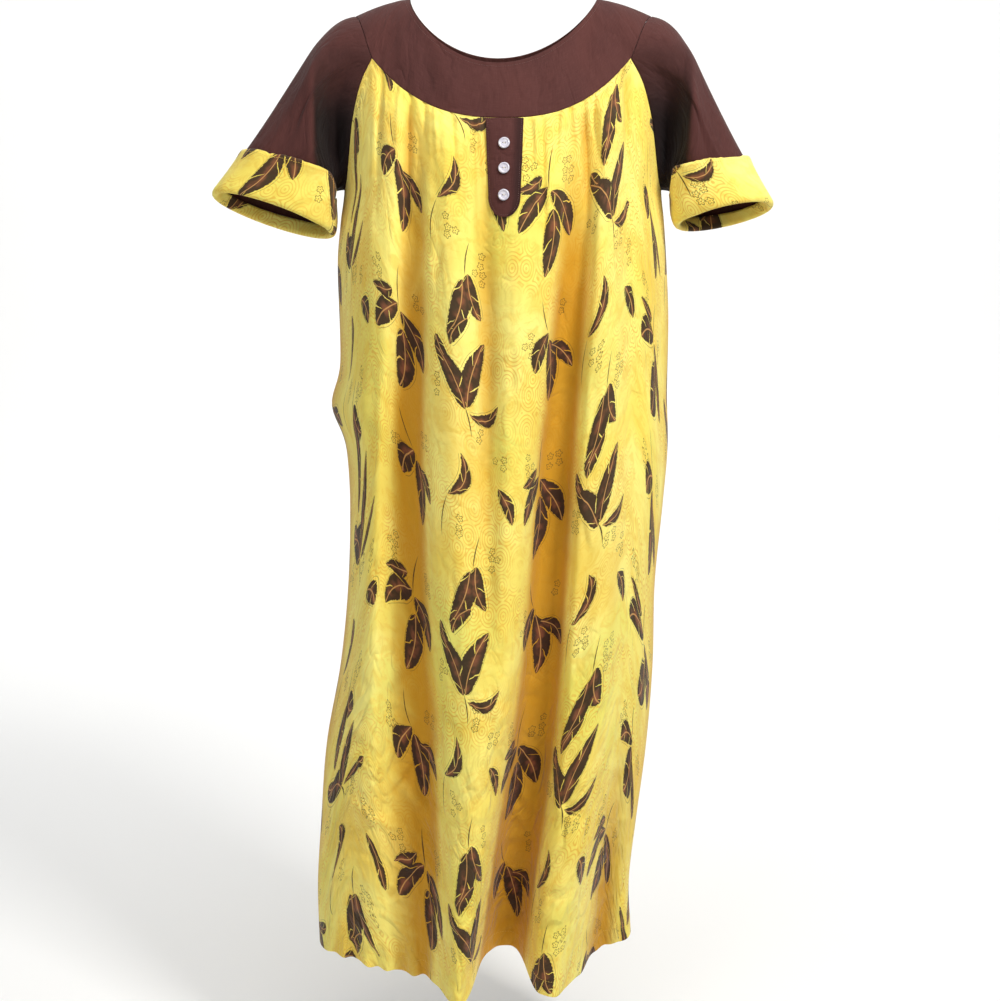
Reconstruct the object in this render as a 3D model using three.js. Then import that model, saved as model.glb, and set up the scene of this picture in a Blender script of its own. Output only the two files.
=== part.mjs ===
// Full-length muumuu dress in its worn form: a brown scoop-neck yoke and raglan sleeves over a
// yellow body that is gathered into the yoke, with turned-up cuffs and a buttoned placket tab.
// Millimetres. The origin is midway between the two side-neck points, where the shoulders carry
// the dress. The front faces -Y, +Z is up, and "left" is the -X side.
import * as THREE from "three";

// Driving sizes
const HEM = -1270;
const CLOTH = 2;
const SEAM_GAP = 0.3;
const NECK_HALF_WIDTH = 118;
const NECK_SHIFT = 7;
const SHOULDER_POINT = { x: 189, z: -22 };
const SIDE_ROUNDING = 2.4;

// Neckline drop and depth, and the yoke seam's height at the middle and at its corners
const NECK = {
  front: { drop: 85, depth: 95, seamMiddle: -152, seamCorner: -78 },
  back: { drop: 66, depth: 78, seamMiddle: -126, seamCorner: -78 },
};
const NECK_DROP_POWER = 1.5;
const NECK_DEPTH_POWER = 0.8;
const SEAM_CURVE_POWER = 2.6;

// Body sections: height, left and right edge, depth of the front and of the back
const SECTIONS = table(["z", "left", "right", "front", "back"], [
  [0, -214, 212, 72, 70],
  [-80, -213, 211, 94, 84],
  [-152, -212, 210, 122, 99],
  [-210, -208, 206, 138, 104],
  [-238, -205, 203, 145, 107],
  [-276, -210, 207, 150, 110],
  [-327, -215, 211, 152, 112],
  [-400, -214, 215, 152, 114],
  [-500, -212, 215, 152, 121],
  [-570, -207, 217, 153, 129],
  [-644, -204, 212, 154, 133],
  [-754, -208, 203, 154, 136],
  [-865, -220, 202, 153, 140],
  [-978, -241, 195, 151, 146],
  [-1093, -251, 182, 150, 154],
  [-1180, -257, 174, 150, 160],
  [-1270, -256, 179, 150, 166],
]);

// The fuller place in the left side seam at the hip
const SIDE_FULLNESS = { z: -516, tall: 34, out: 15, power: 6 };

// Raglan seam: how far across the half width it lies at each step down from the yoke's corner
const RAGLAN = table(["across", "z"], [
  [0, NECK.front.seamCorner],
  [0.3, -108],
  [0.53, -152],
  [0.64, -182],
  [0.77, -213],
  [0.9, -231],
  [1, -238],
]);
const CORNER_ANGLE = { left: 49.9, right: 48.2, back: 49 };

// Long folds of the front, from the gathers to the hem: where each lies at five heights, how
// wide it is at the top and at the hem, and how far it stands out (or in) at the five heights.
// The two deepest have a flat floor (power 4) and a steeper right side.
const FOLD_HEIGHTS = [-200, -370, -600, -900, -1250];
const FRONT_FOLDS = [
  { x: [-150, -158, -178, -195, -205], wide: [22, 42], out: [6, 10, 12, 7, -32] },
  {
    x: [-108, -112, -120, -116, -112], wide: [14, 48], out: [-10, -21, -38, -42, -36],
    steep: 0.15, power: 4,
  },
  { x: [-69, -62, -60, -48, -66], wide: [20, 30], out: [6, 12, 14, 20, 42] },
  { x: [-28, -21, -19, -14, -12], wide: [12, 16], out: [-6, -10, -9, -4, 0] },
  { x: [17, 18, 4, -18, -44], wide: [20, 22], out: [4, 10, 13, 17, 18] },
  {
    x: [98, 86, 68, 48, 0], wide: [20, 36], out: [-14, -30, -46, -56, -86],
    steep: 0.15, power: 4,
  },
  { x: [128, 128, 132, 120, 64], wide: [18, 30], out: [7, 12, 13, 18, 34] },
  { x: [152, 156, 165, 158, 136], wide: [13, 30], out: [-6, -9, -10, -11, -58] },
  { x: [176, 182, 188, 180, 165], wide: [16, 22], out: [4, 6, 7, 8, -10] },
];
const BACK_FOLDS = [
  { x: [-150, -156, -166, -188, -205], wide: [24, 32], out: [4, 6, 8, 9, 12] },
  { x: [-116, -112, -122, -138, -150], wide: [16, 26], out: [-6, -9, -12, -16, -22] },
  { x: [-72, -64, -74, -86, -94], wide: [22, 30], out: [5, 7, 9, 13, 20] },
  { x: [-30, -22, -28, -42, -48], wide: [15, 22], out: [-5, -8, -10, -14, -20] },
  { x: [24, 20, 14, 0, -4], wide: [22, 28], out: [5, 8, 10, 14, 20] },
  { x: [66, 70, 60, 42, 40], wide: [16, 24], out: [-6, -10, -13, -17, -24] },
  { x: [108, 112, 104, 88, 84], wide: [22, 28], out: [4, 7, 10, 13, 18] },
  { x: [146, 152, 150, 132, 126], wide: [15, 22], out: [-4, -6, -9, -12, -16] },
];

// Gathers under the yoke: x at the seam, x where it dies out, half width, depth and length
const FRONT_GATHERS = table(["x", "endX", "wide", "out", "length"], [
  [-136, -140, 7, 3.2, 110],
  [-120, -124, 7, 3.6, 90],
  [-104, -104, 7, 4.2, 130],
  [-88, -84, 7, 3.4, 90],
  [-73, -66, 7.5, 4.8, 150],
  [-57, -48, 7, 3.4, 100],
  [-42, -32, 7, 5.6, 170],
  [42, 47, 7, 4.4, 120],
  [57, 60, 7, 3.4, 90],
  [72, 76, 7, 4.2, 110],
  [87, 98, 7.5, 5.6, 170],
  [103, 114, 7, 3.6, 110],
  [118, 132, 7, 4.8, 140],
  [134, 146, 7, 3.6, 100],
]);
const BACK_GATHERS = table(["x", "endX", "wide", "out", "length"], [
  [-132, -138, 10, 3.8, 110],
  [-106, -110, 10, 4.4, 150],
  [-80, -82, 10, 3.6, 100],
  [-54, -52, 10, 4.6, 140],
  [-27, -26, 10, 3.8, 110],
  [0, 2, 10, 4.2, 150],
  [27, 28, 10, 3.6, 100],
  [54, 58, 10, 4.6, 140],
  [80, 84, 10, 4.0, 110],
  [106, 112, 10, 4.4, 150],
  [132, 138, 10, 3.6, 110],
]);
const FOLD_START = 45;
const SIDE_FADE_POWER = 8;
const HEM_LIFTS = table(["x", "wide", "height", "power"], [
  [0, 36, 22, 4],
  [178, 62, 19, 2],
  [-235, 70, 9, 2],
]);

// Sleeves and cuffs: the opening's middle, its half axes outward and forward, and where the
// ridge of the soft upright fold on the sleeve's front runs, from its top to its foot
const SLEEVES = {
  left: {
    side: -1, middle: [-291, -45, -267], outward: [-75, 0, 24], forward: [0, -44, 17],
    ridgeX: [234, 235],
  },
  right: {
    side: 1, middle: [279, -45, -268], outward: [60, 0, 12], forward: [0, -44, 15],
    ridgeX: [236, 228],
  },
};
const SLEEVE_SWELL = 13;

// How a sleeve leaves the armhole, as shares of its run, and how it settles before the opening
const SLEEVE_LEAVE = { top: 0.18, under: 0.5, underAngle: 110, droop: 0.02, settle: 0.6 };

// The fold itself: how far its ridge stands out, and how deep the hollow between the ridge and
// the raglan seam is at its top and foot
const SLEEVE_FOLD = {
  top: -45, foot: -205, fadeTop: 10, fadeFoot: 30, fade: 50, seamShare: 0.15,
  wide: 13, ridgeOut: 10, edge: 17, hollowIn: [2, 25],
};

// A cuff is folded round the sleeve's end: up is the height above the opening, out the distance
// from the sleeve's outer face
const CUFF = { height: 61, underarmShare: 0.6, facing: 12, lift: 1.4, flare: 3 };
const CUFF_SEARCH_STEP = 0.005;

// Placket tab and its buttons
const TAB = { x: 1, top: -153.6, shoulder: -245, tip: -271, halfTop: 23, halfLow: 19 };
const BUTTON = { radius: 7, thick: 3, rim: 1.5, dish: 1 };
const BUTTON_HEIGHTS = { button_top: -183, button_middle: -213, button_bottom: -244 };

// How finely each piece is divided
const STEPS = {
  frontRaglan: 18, frontYoke: 54, backRaglan: 11, backYoke: 26, yokeSide: 4,
  frontDown: 14, backDown: 11, yokeDown: 3, sleeveDown: 10,
};
const ROW_BUNCHING = 1.3;

const yellow = material(0xe8c846, 0.85);
const brown = material(0x5b3a34, 0.8);
const pearl = material(0xe9e6e2, 0.25);

function material(colour, roughness) {
  return new THREE.MeshStandardMaterial({ color: colour, roughness, metalness: 0 });
}

// A table of named columns
function table(columns, rows) {
  return rows.map((row) => Object.fromEntries(columns.map((name, i) => [name, row[i]])));
}

// A smooth curve through one column of a table, read at a value of another column
function curve(rows, key, value) {
  const sorted = [...rows].sort((a, b) => a[key] - b[key]);
  const xs = sorted.map((row) => row[key]);
  const ys = sorted.map((row) => row[value]);
  const slopes = xs.map((_, i) => {
    const before = Math.max(i - 1, 0);
    const after = Math.min(i + 1, xs.length - 1);
    return (ys[after] - ys[before]) / (xs[after] - xs[before]);
  });
  return (at) => {
    const x = clamp(at, xs[0], xs[xs.length - 1]);
    let i = 0;
    while (i < xs.length - 2 && x > xs[i + 1]) i += 1;
    const span = xs[i + 1] - xs[i];
    const t = (x - xs[i]) / span;
    const rise = 3 * t * t - 2 * t * t * t;
    const leave = t * (1 - t) * (1 - t) * span;
    const arrive = t * t * (1 - t) * span;
    return ys[i] * (1 - rise) + ys[i + 1] * rise + slopes[i] * leave - slopes[i + 1] * arrive;
  };
}

function clamp(x, low, high) {
  return Math.min(Math.max(x, low), high);
}

function lerp(a, b, t) {
  return a + (b - a) * t;
}

function ease(t) {
  const s = clamp(t, 0, 1);
  return s * s * (3 - 2 * s);
}

function bump(distance, wide, power = 2) {
  return Math.exp(-(Math.abs(distance / wide) ** power));
}

function steps(from, to, count) {
  return Array.from({ length: count + 1 }, (_, i) => lerp(from, to, i / count));
}

function join(...lists) {
  return lists.reduce((all, list) => [...all, ...list.slice(1)]);
}

const sin = (degrees) => Math.sin(THREE.MathUtils.degToRad(degrees));
const cos = (degrees) => Math.cos(THREE.MathUtils.degToRad(degrees));

// The body
const sectionLeft = curve(SECTIONS, "z", "left");
const sectionRight = curve(SECTIONS, "z", "right");
const sectionDepth = { front: curve(SECTIONS, "z", "front"), back: curve(SECTIONS, "z", "back") };
const outward = { front: -1, back: 1 };

// A point of the smooth body, before its folds. across runs from -1 at the left side seam to 1.
function bodyPoint(face, across, z) {
  const middle = (sectionLeft(z) + sectionRight(z)) / 2;
  const half = (sectionRight(z) - sectionLeft(z)) / 2;
  const round = Math.sqrt(Math.max(0, 1 - Math.abs(across) ** SIDE_ROUNDING));
  const y = outward[face] * sectionDepth[face](z) * round;
  const fullness = SIDE_FULLNESS.out * bump(z - SIDE_FULLNESS.z, SIDE_FULLNESS.tall);
  const pushed = across < 0 ? fullness * across ** SIDE_FULLNESS.power : 0;
  return new THREE.Vector3(middle + half * across - pushed, y, z);
}

const raglanHeight = curve(RAGLAN, "across", "z");

function cornerAcross(face, across) {
  if (face === "back") return sin(CORNER_ANGLE.back);
  return sin(across < 0 ? CORNER_ANGLE.left : CORNER_ANGLE.right);
}

// The height of a panel's top edge: the yoke seam in the middle, the raglan seams beside it
function topHeight(face, across) {
  const corner = cornerAcross(face, across);
  const share = Math.abs(across) / corner;
  const { seamMiddle, seamCorner } = NECK[face];
  if (share <= 1) return lerp(seamMiddle, seamCorner, share ** SEAM_CURVE_POWER);
  return raglanHeight((Math.abs(across) - corner) / (1 - corner));
}

const foldCurve = (values) => {
  const rows = FOLD_HEIGHTS.map((z, i) => ({ z, value: values[i] }));
  return curve(rows, "z", "value");
};

function prepareFolds(folds) {
  return folds.map(({ x, wide, out, steep = 0, power = 2 }) => (
    { x: foldCurve(x), wide, out: foldCurve(out), steep, power }));
}

const longFolds = { front: prepareFolds(FRONT_FOLDS), back: prepareFolds(BACK_FOLDS) };
const gathers = { front: FRONT_GATHERS, back: BACK_GATHERS };

// How far the cloth stands out of the smooth body at x, z, below the top edge at zTop
function foldOut(face, x, z, zTop) {
  const below = zTop - z;
  const down = clamp((z - FOLD_HEIGHTS[0]) / (HEM - FOLD_HEIGHTS[0]), 0, 1);
  let out = 0;
  for (const fold of longFolds[face]) {
    const away = x - fold.x(z);
    const wide = lerp(fold.wide[0], fold.wide[1], down) * (1 - Math.sign(away) * fold.steep);
    out += fold.out(z) * bump(away, wide, fold.power);
  }
  out *= ease(below / FOLD_START);
  for (const gather of gathers[face]) {
    const t = below / gather.length;
    if (t <= 0 || t >= 1) continue;
    const swell = Math.sin(Math.PI * Math.sqrt(t));
    const wide = gather.wide * (1 + t);
    out += gather.out * swell * bump(x - lerp(gather.x, gather.endX, t), wide);
  }
  return out;
}

// The hem hangs a little higher where a fold takes it up
function hemLift(face, x) {
  const lifts = face === "front" ? HEM_LIFTS : HEM_LIFTS.slice(1);
  return lifts.reduce(
    (sum, { x: at, wide, height, power }) => sum + height * bump(x - at, wide, power), 0);
}

function panelPoint(face, angle, t) {
  const across = sin(angle);
  const zTop = topHeight(face, across);
  const hemAt = bodyPoint(face, across, HEM);
  const z = lerp(zTop, HEM + hemLift(face, hemAt.x), t ** ROW_BUNCHING);
  const point = bodyPoint(face, across, z);
  const sideFade = 1 - Math.abs(across) ** SIDE_FADE_POWER;
  point.y += outward[face] * foldOut(face, point.x, z, zTop) * sideFade;
  return point;
}

function panelGrid(face, angles, down) {
  return steps(0, 1, down).map((t) => angles.map((angle) => panelPoint(face, angle, t)));
}

const frontLeftRaglan = steps(-90, -CORNER_ANGLE.left, STEPS.frontRaglan);
const frontSeam = steps(-CORNER_ANGLE.left, CORNER_ANGLE.right, STEPS.frontYoke);
const frontRightRaglan = steps(CORNER_ANGLE.right, 90, STEPS.frontRaglan);
const backRightRaglan = steps(90, CORNER_ANGLE.back, STEPS.backRaglan);
const backSeam = steps(CORNER_ANGLE.back, -CORNER_ANGLE.back, STEPS.backYoke);
const backLeftRaglan = steps(-CORNER_ANGLE.back, -90, STEPS.backRaglan);

const frontGrid = panelGrid(
  "front", join(frontLeftRaglan, frontSeam, frontRightRaglan), STEPS.frontDown);
const backGrid = panelGrid(
  "back", join(backRightRaglan, backSeam, backLeftRaglan), STEPS.backDown);

// The yokes
const topEdge = (face, angles) => angles.map((angle) => panelPoint(face, angle, 0));

const YOKE_SIDE = { depthPower: 0.9, risePower: 1.1 };

// The yoke's side edge, from its corner with the panel (0) up to the shoulder point (1)
function yokeSide(corner, t) {
  const side = Math.sign(corner.x);
  return new THREE.Vector3(
    lerp(corner.x, side * SHOULDER_POINT.x, t),
    corner.y * cos(90 * t) ** YOKE_SIDE.depthPower,
    lerp(corner.z, SHOULDER_POINT.z, sin(90 * t) ** YOKE_SIDE.risePower),
  );
}

function neckPoint(face, angle) {
  const { drop, depth } = NECK[face];
  const middle = cos(angle);
  return new THREE.Vector3(
    NECK_HALF_WIDTH * sin(angle) - NECK_SHIFT * middle,
    outward[face] * depth * middle ** NECK_DEPTH_POWER,
    -drop * middle ** NECK_DROP_POWER,
  );
}

const NECK_CORNER_ANGLE = 62;
const YOKE_SWELL = 3;

function yokeGrid(face, seamAngles) {
  const seam = topEdge(face, seamAngles);
  const first = seam[0];
  const last = seam[seam.length - 1];
  const sides = steps(0, 1, STEPS.yokeSide).slice(1);
  const outer = [
    ...sides.map((t) => yokeSide(first, t)).reverse(),
    ...seam,
    ...sides.map((t) => yokeSide(last, t)),
  ];
  const sideAngle = (t, corner) => Math.sign(corner.x) * lerp(NECK_CORNER_ANGLE, 90, t);
  const neckAngles = [
    ...sides.map((t) => sideAngle(t, first)).reverse(),
    ...seam.map((point) => {
      const share = point.x / Math.abs(point.x < 0 === first.x < 0 ? first.x : last.x);
      return THREE.MathUtils.radToDeg(Math.asin(share * sin(NECK_CORNER_ANGLE)));
    }),
    ...sides.map((t) => sideAngle(t, last)),
  ];
  return steps(0, 1, STEPS.yokeDown).map((t) => outer.map((point, i) => {
    const inner = neckPoint(face, neckAngles[i]);
    const middle = cos(neckAngles[i]);
    const swell = YOKE_SWELL * Math.sin(Math.PI * t);
    return inner.lerp(point, t).add(
      new THREE.Vector3(0, outward[face] * swell * middle, swell * (1 - middle)));
  }));
}

const frontYokeGrid = yokeGrid("front", frontSeam);
const backYokeGrid = yokeGrid("back", backSeam);

// The sleeves. Each is a tube whose first ring is the armhole: the front raglan seam, the two
// yoke sides over the shoulder, and the back raglan seam.
function armhole(side) {
  const frontRaglan = topEdge("front", side < 0 ? frontLeftRaglan : frontRightRaglan);
  const backRaglan = topEdge("back", side < 0 ? backLeftRaglan : backRightRaglan);
  if (side > 0) frontRaglan.reverse();
  if (side < 0) backRaglan.reverse();
  const frontCorner = frontRaglan[frontRaglan.length - 1];
  const backCorner = backRaglan[backRaglan.length - 1];
  const sides = steps(0, 1, STEPS.yokeSide);
  const frontHalf = join(frontRaglan, sides.map((t) => yokeSide(frontCorner, t)));
  const backHalf = join(backRaglan, sides.map((t) => yokeSide(backCorner, t)));
  return { frontHalf, backHalf };
}

// Shares of the way along a chain of points
function shares(points) {
  const lengths = [0];
  for (let i = 1; i < points.length; i += 1) {
    lengths.push(lengths[i - 1] + points[i].distanceTo(points[i - 1]));
  }
  return lengths.map((length) => length / lengths[lengths.length - 1]);
}

function openingPoint(sleeve, angle) {
  const point = new THREE.Vector3(...sleeve.middle);
  point.addScaledVector(new THREE.Vector3(...sleeve.outward), cos(angle));
  point.addScaledVector(new THREE.Vector3(...sleeve.forward), sin(angle));
  return point;
}

// The run of one column of the sleeve, from the armhole down to the opening
function sleeveRun(sleeve, start, angle) {
  const end = openingPoint(sleeve, angle);
  const length = start.distanceTo(end);
  const { top, under, underAngle, droop, settle } = SLEEVE_LEAVE;
  const leave = lerp(top, under, ease(Math.abs(angle) / underAngle));
  const leaving = start.clone().add(
    new THREE.Vector3(sleeve.side * leave * length, 0, -droop * length));
  return new THREE.CubicBezierCurve3(start, leaving, end.clone().lerp(start, settle), end);
}

function sleevePoint(sleeve, run, angle, t) {
  const point = run.getPoint(t);
  point.y -= SLEEVE_SWELL * sin(angle) * Math.sin(Math.PI * t);
  const nearSeam = ease(t / SLEEVE_FOLD.seamShare);
  if (angle > 0 && angle < 180) point.y += frontFold(sleeve, point) * nearSeam;
  return point;
}

function frontFold(sleeve, point) {
  const fold = SLEEVE_FOLD;
  const down = clamp((fold.top - point.z) / (fold.top - fold.foot), 0, 1);
  const fade = ease((fold.top + fold.fadeTop - point.z) / fold.fade)
    * ease((point.z - fold.foot + fold.fadeFoot) / fold.fade);
  const inward = lerp(...sleeve.ridgeX, down) - point.x * sleeve.side;
  const ridge = fold.ridgeOut * bump(inward, fold.wide);
  const hollow = lerp(...fold.hollowIn, down) * ease(inward / fold.edge);
  return fade * (hollow - ridge);
}

function sleeveGrid(sleeve) {
  const { frontHalf, backHalf } = armhole(sleeve.side);
  const frontAngles = shares(frontHalf).map((share) => 180 * (1 - share));
  const backAngles = shares(backHalf).map((share) => -180 * (1 - share));
  const ring = [
    ...frontHalf.map((start, i) => ({ start, angle: frontAngles[i] })),
    ...backHalf.map((start, i) => ({ start, angle: backAngles[i] })).slice(1, -1).reverse(),
  ];
  if (sleeve.side < 0) ring.reverse();
  return gridRows(sleeve, ring);
}

const heightAbove = (run, share) => run.getPoint(1 - share).distanceTo(run.getPoint(1));

// The rows end with three that the cuff also follows: its top, its middle and the opening
function gridRows(sleeve, ring) {
  const columns = ring.map(({ start, angle }) => {
    const run = sleeveRun(sleeve, start, angle);
    let cuffShare = 0;
    while (cuffShare < CUFF.underarmShare && heightAbove(run, cuffShare) < CUFF.height) {
      cuffShare += CUFF_SEARCH_STEP;
    }
    const stops = join(steps(0, 1 - cuffShare, STEPS.sleeveDown), steps(1 - cuffShare, 1, 2));
    return stops.map((t) => sleevePoint(sleeve, run, angle, t));
  });
  return columns[0].map((_, row) => columns.map((column) => column[row]));
}

// Cloth walls
const key = (point) => point.toArray().map((v) => Math.round(v * 50)).join(" ");

function gridNormals(grid, wraps) {
  const width = grid[0].length;
  const pick = (row, i) => {
    if (wraps) return row[(i + width) % width];
    return row[clamp(i, 0, width - 1)];
  };
  return grid.map((row, j) => row.map((_, i) => {
    const above = grid[Math.max(j - 1, 0)][i];
    const below = grid[Math.min(j + 1, grid.length - 1)][i];
    const along = pick(row, i + 1).clone().sub(pick(row, i - 1));
    return below.clone().sub(above).cross(along).normalize();
  }));
}

// Pieces that share a seam share its points, so each wall takes the mean direction there
const seamNormals = new Map();

function noteNormals(grid, normals) {
  grid.forEach((row, j) => row.forEach((point, i) => {
    const name = key(point);
    if (!seamNormals.has(name)) seamNormals.set(name, new THREE.Vector3());
    seamNormals.get(name).add(normals[j][i]);
  }));
}

// Moves a sewn edge back from the seam by half the gap, square to the seam, and further where
// the two walls meet in a sharp crease
const SHARPEST = 0.3;

function pullEdge(edge, normals, ownNormals, inner, wraps) {
  const count = edge.length;
  return edge.map((point, i) => {
    const next = wraps ? edge[(i + 1) % count] : edge[Math.min(i + 1, count - 1)];
    const last = wraps ? edge[(i + count - 1) % count] : edge[Math.max(i - 1, 0)];
    const back = next.clone().sub(last).cross(normals[i]).normalize();
    if (back.dot(inner[i].clone().sub(point)) < 0) back.negate();
    const flatness = Math.max(normals[i].dot(ownNormals[i]), SHARPEST);
    return back.multiplyScalar(SEAM_GAP / 2 / flatness);
  });
}

function pulledGrid({ grid, wraps, sewn, normals, ownNormals }) {
  const result = grid.map((row) => row.map((point) => point.clone()));
  const last = grid.length - 1;
  const end = grid[0].length - 1;
  const moveRow = (at, inner) => {
    const shifts = pullEdge(grid[at], normals[at], ownNormals[at], grid[inner], wraps);
    shifts.forEach((shift, i) => result[at][i].add(shift));
  };
  const moveColumn = (at, inner) => {
    const column = (rows, index) => rows.map((row) => row[index]);
    const shifts = pullEdge(column(grid, at), column(normals, at), column(ownNormals, at),
      column(grid, inner), false);
    shifts.forEach((shift, j) => result[j][at].add(shift));
  };
  if (sewn.includes("top")) moveRow(0, 1);
  if (sewn.includes("low")) moveRow(last, last - 1);
  if (sewn.includes("sides")) {
    moveColumn(0, 1);
    moveColumn(end, end - 1);
  }
  return result;
}

function geometryOf(points, triangles) {
  const geometry = new THREE.BufferGeometry();
  const values = points.flatMap((point) => point.toArray());
  geometry.setAttribute("position", new THREE.Float32BufferAttribute(values, 3));
  geometry.setIndex(triangles);
  geometry.computeVertexNormals();
  return geometry;
}

// A closed wall with the grid as its outer face
function wallGeometry(grid, normals, wraps, thick) {
  const width = grid[0].length;
  const count = grid.length * width;
  const outer = grid.flat();
  const inner = grid.flatMap((row, j) => row.map(
    (point, i) => point.clone().addScaledVector(normals[j][i], -thick)));
  const triangles = [];
  const quad = (a, b, c, d) => triangles.push(a, b, c, a, c, d);
  const spans = wraps ? width : width - 1;
  const at = (j, i) => j * width + (i % width);
  for (let j = 0; j < grid.length - 1; j += 1) {
    for (let i = 0; i < spans; i += 1) {
      const corners = [at(j, i), at(j + 1, i), at(j + 1, i + 1), at(j, i + 1)];
      quad(...corners);
      const [a, b, c, d] = corners.map((index) => index + count);
      quad(a, d, c, b);
    }
    if (!wraps) {
      quad(at(j, 0), at(j, 0) + count, at(j + 1, 0) + count, at(j + 1, 0));
      const end = width - 1;
      quad(at(j + 1, end), at(j + 1, end) + count, at(j, end) + count, at(j, end));
    }
  }
  const low = grid.length - 1;
  for (let i = 0; i < spans; i += 1) {
    quad(at(0, i + 1), at(0, i + 1) + count, at(0, i) + count, at(0, i));
    quad(at(low, i), at(low, i) + count, at(low, i + 1) + count, at(low, i + 1));
  }
  return geometryOf([...outer, ...inner], triangles);
}

const dress = new THREE.Group();
dress.name = "muumuu_dress";

function add(name, geometry, finish) {
  const mesh = new THREE.Mesh(geometry, finish);
  mesh.name = name;
  dress.add(mesh);
  return mesh;
}

const leftSleeveGrid = sleeveGrid(SLEEVES.left);
const rightSleeveGrid = sleeveGrid(SLEEVES.right);
const sewnPieces = [
  { name: "front_panel", grid: frontGrid, wraps: false, sewn: ["top", "sides"], finish: yellow },
  { name: "back_panel", grid: backGrid, wraps: false, sewn: ["top", "sides"], finish: yellow },
  { name: "front_yoke", grid: frontYokeGrid, wraps: false, sewn: ["low", "sides"], finish: brown },
  { name: "back_yoke", grid: backYokeGrid, wraps: false, sewn: ["low", "sides"], finish: brown },
  { name: "sleeve_left", grid: leftSleeveGrid, wraps: true, sewn: ["top"], finish: brown },
  { name: "sleeve_right", grid: rightSleeveGrid, wraps: true, sewn: ["top"], finish: brown },
];
for (const piece of sewnPieces) {
  piece.ownNormals = gridNormals(piece.grid, piece.wraps);
  noteNormals(piece.grid, piece.ownNormals);
}
for (const piece of sewnPieces) {
  piece.normals = piece.grid.map((row) => row.map(
    (point) => seamNormals.get(key(point)).clone().normalize()));
  piece.cut = pulledGrid(piece);
  add(piece.name, wallGeometry(piece.cut, piece.normals, piece.wraps, CLOTH), piece.finish);
}

// Cuffs: each follows the last three rows of its sleeve
const inside = -CLOTH - CUFF.lift;
const CUFF_PROFILE = table(["up", "out"], [
  [CUFF.height, CUFF.flare],
  [CUFF.height, CUFF.flare + CLOTH],
  [CUFF.height / 2, CUFF.lift + CLOTH + 1.2],
  [6, CUFF.lift + CLOTH + 0.4],
  [-2.5, CUFF.lift + 1],
  [-3.6, -1],
  [-2.5, inside - 1],
  [6, inside - CLOTH - 0.2],
  [CUFF.facing, inside - CLOTH],
  [CUFF.facing, inside],
  [-0.8, inside],
  [-0.8, CUFF.lift],
  [CUFF.height / 2, CUFF.lift + 1],
]);

function cuffGeometry(grid, normals) {
  const rows = grid.slice(-3).reverse();
  const rowNormals = normals.slice(-3).reverse();
  const width = rows[0].length;
  const place = (i, up, out) => {
    const spans = [rows[0][i].distanceTo(rows[1][i]), rows[1][i].distanceTo(rows[2][i])];
    const reach = (up / CUFF.height) * (spans[0] + spans[1]);
    const upper = reach > spans[0] ? 1 : 0;
    const t = (reach - upper * spans[0]) / spans[upper];
    const point = rows[upper][i].clone().lerp(rows[upper + 1][i], t);
    const normal = rowNormals[upper][i].clone().lerp(rowNormals[upper + 1][i], clamp(t, 0, 1));
    return point.addScaledVector(normal.normalize(), out);
  };
  const points = CUFF_PROFILE.flatMap(({ up, out }) => rows[0].map((_, i) => place(i, up, out)));
  const triangles = [];
  const count = CUFF_PROFILE.length;
  for (let k = 0; k < count; k += 1) {
    const next = (k + 1) % count;
    for (let i = 0; i < width; i += 1) {
      const side = (i + 1) % width;
      const [a, b, c, d] = [
        k * width + i, next * width + i, next * width + side, k * width + side];
      const rises = next === 0 || CUFF_PROFILE[next].up > CUFF_PROFILE[k].up;
      if (rises) triangles.push(b, c, d, b, d, a);
      else triangles.push(a, b, c, a, c, d);
    }
  }
  return geometryOf(points, triangles);
}

for (const side of ["left", "right"]) {
  const sleeve = sewnPieces.find((piece) => piece.name === `sleeve_${side}`);
  add(`cuff_${side}`, cuffGeometry(sleeve.cut, sleeve.normals), yellow);
}

// What lies on the front panel is placed from the panel's own faces
function onGrid(grid, normals, x, z) {
  for (let j = 0; j < grid.length - 1; j += 1) {
    for (let i = 0; i < grid[0].length - 1; i += 1) {
      const corners = [[j, i], [j + 1, i], [j + 1, i + 1], [j, i + 1]];
      for (const [a, b, c] of [[0, 1, 2], [0, 2, 3]]) {
        const face = [a, b, c].map((n) => corners[n]);
        const share = shareInFace(face.map(([row, column]) => grid[row][column]), x, z);
        if (share) return blendFace(face, share, grid, normals);
      }
    }
  }
  throw new Error("no face of the panel there");
}

function shareInFace([a, b, c], x, z) {
  const area = (b.x - a.x) * (c.z - a.z) - (c.x - a.x) * (b.z - a.z);
  const v = ((x - a.x) * (c.z - a.z) - (c.x - a.x) * (z - a.z)) / area;
  const w = ((b.x - a.x) * (z - a.z) - (x - a.x) * (b.z - a.z)) / area;
  const slack = -1e-6;
  return v >= slack && w >= slack && 1 - v - w >= slack ? [1 - v - w, v, w] : null;
}

function blendFace(face, share, grid, normals) {
  const point = new THREE.Vector3();
  const normal = new THREE.Vector3();
  face.forEach(([row, column], n) => {
    point.addScaledVector(grid[row][column], share[n]);
    normal.addScaledVector(normals[row][column], share[n]);
  });
  return { point, normal: normal.normalize() };
}

// Placket tab: straight sides, then a rounded point
const TAB_LIFT = 0.6;
const TAB_TIP_ROWS = [0.35, 0.65, 0.88, 1];
const TAB_COLUMNS = 8;

function tabRow(z, half) {
  return steps(-half, half, TAB_COLUMNS).map((dx) => ({ x: TAB.x + dx, z }));
}

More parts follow.
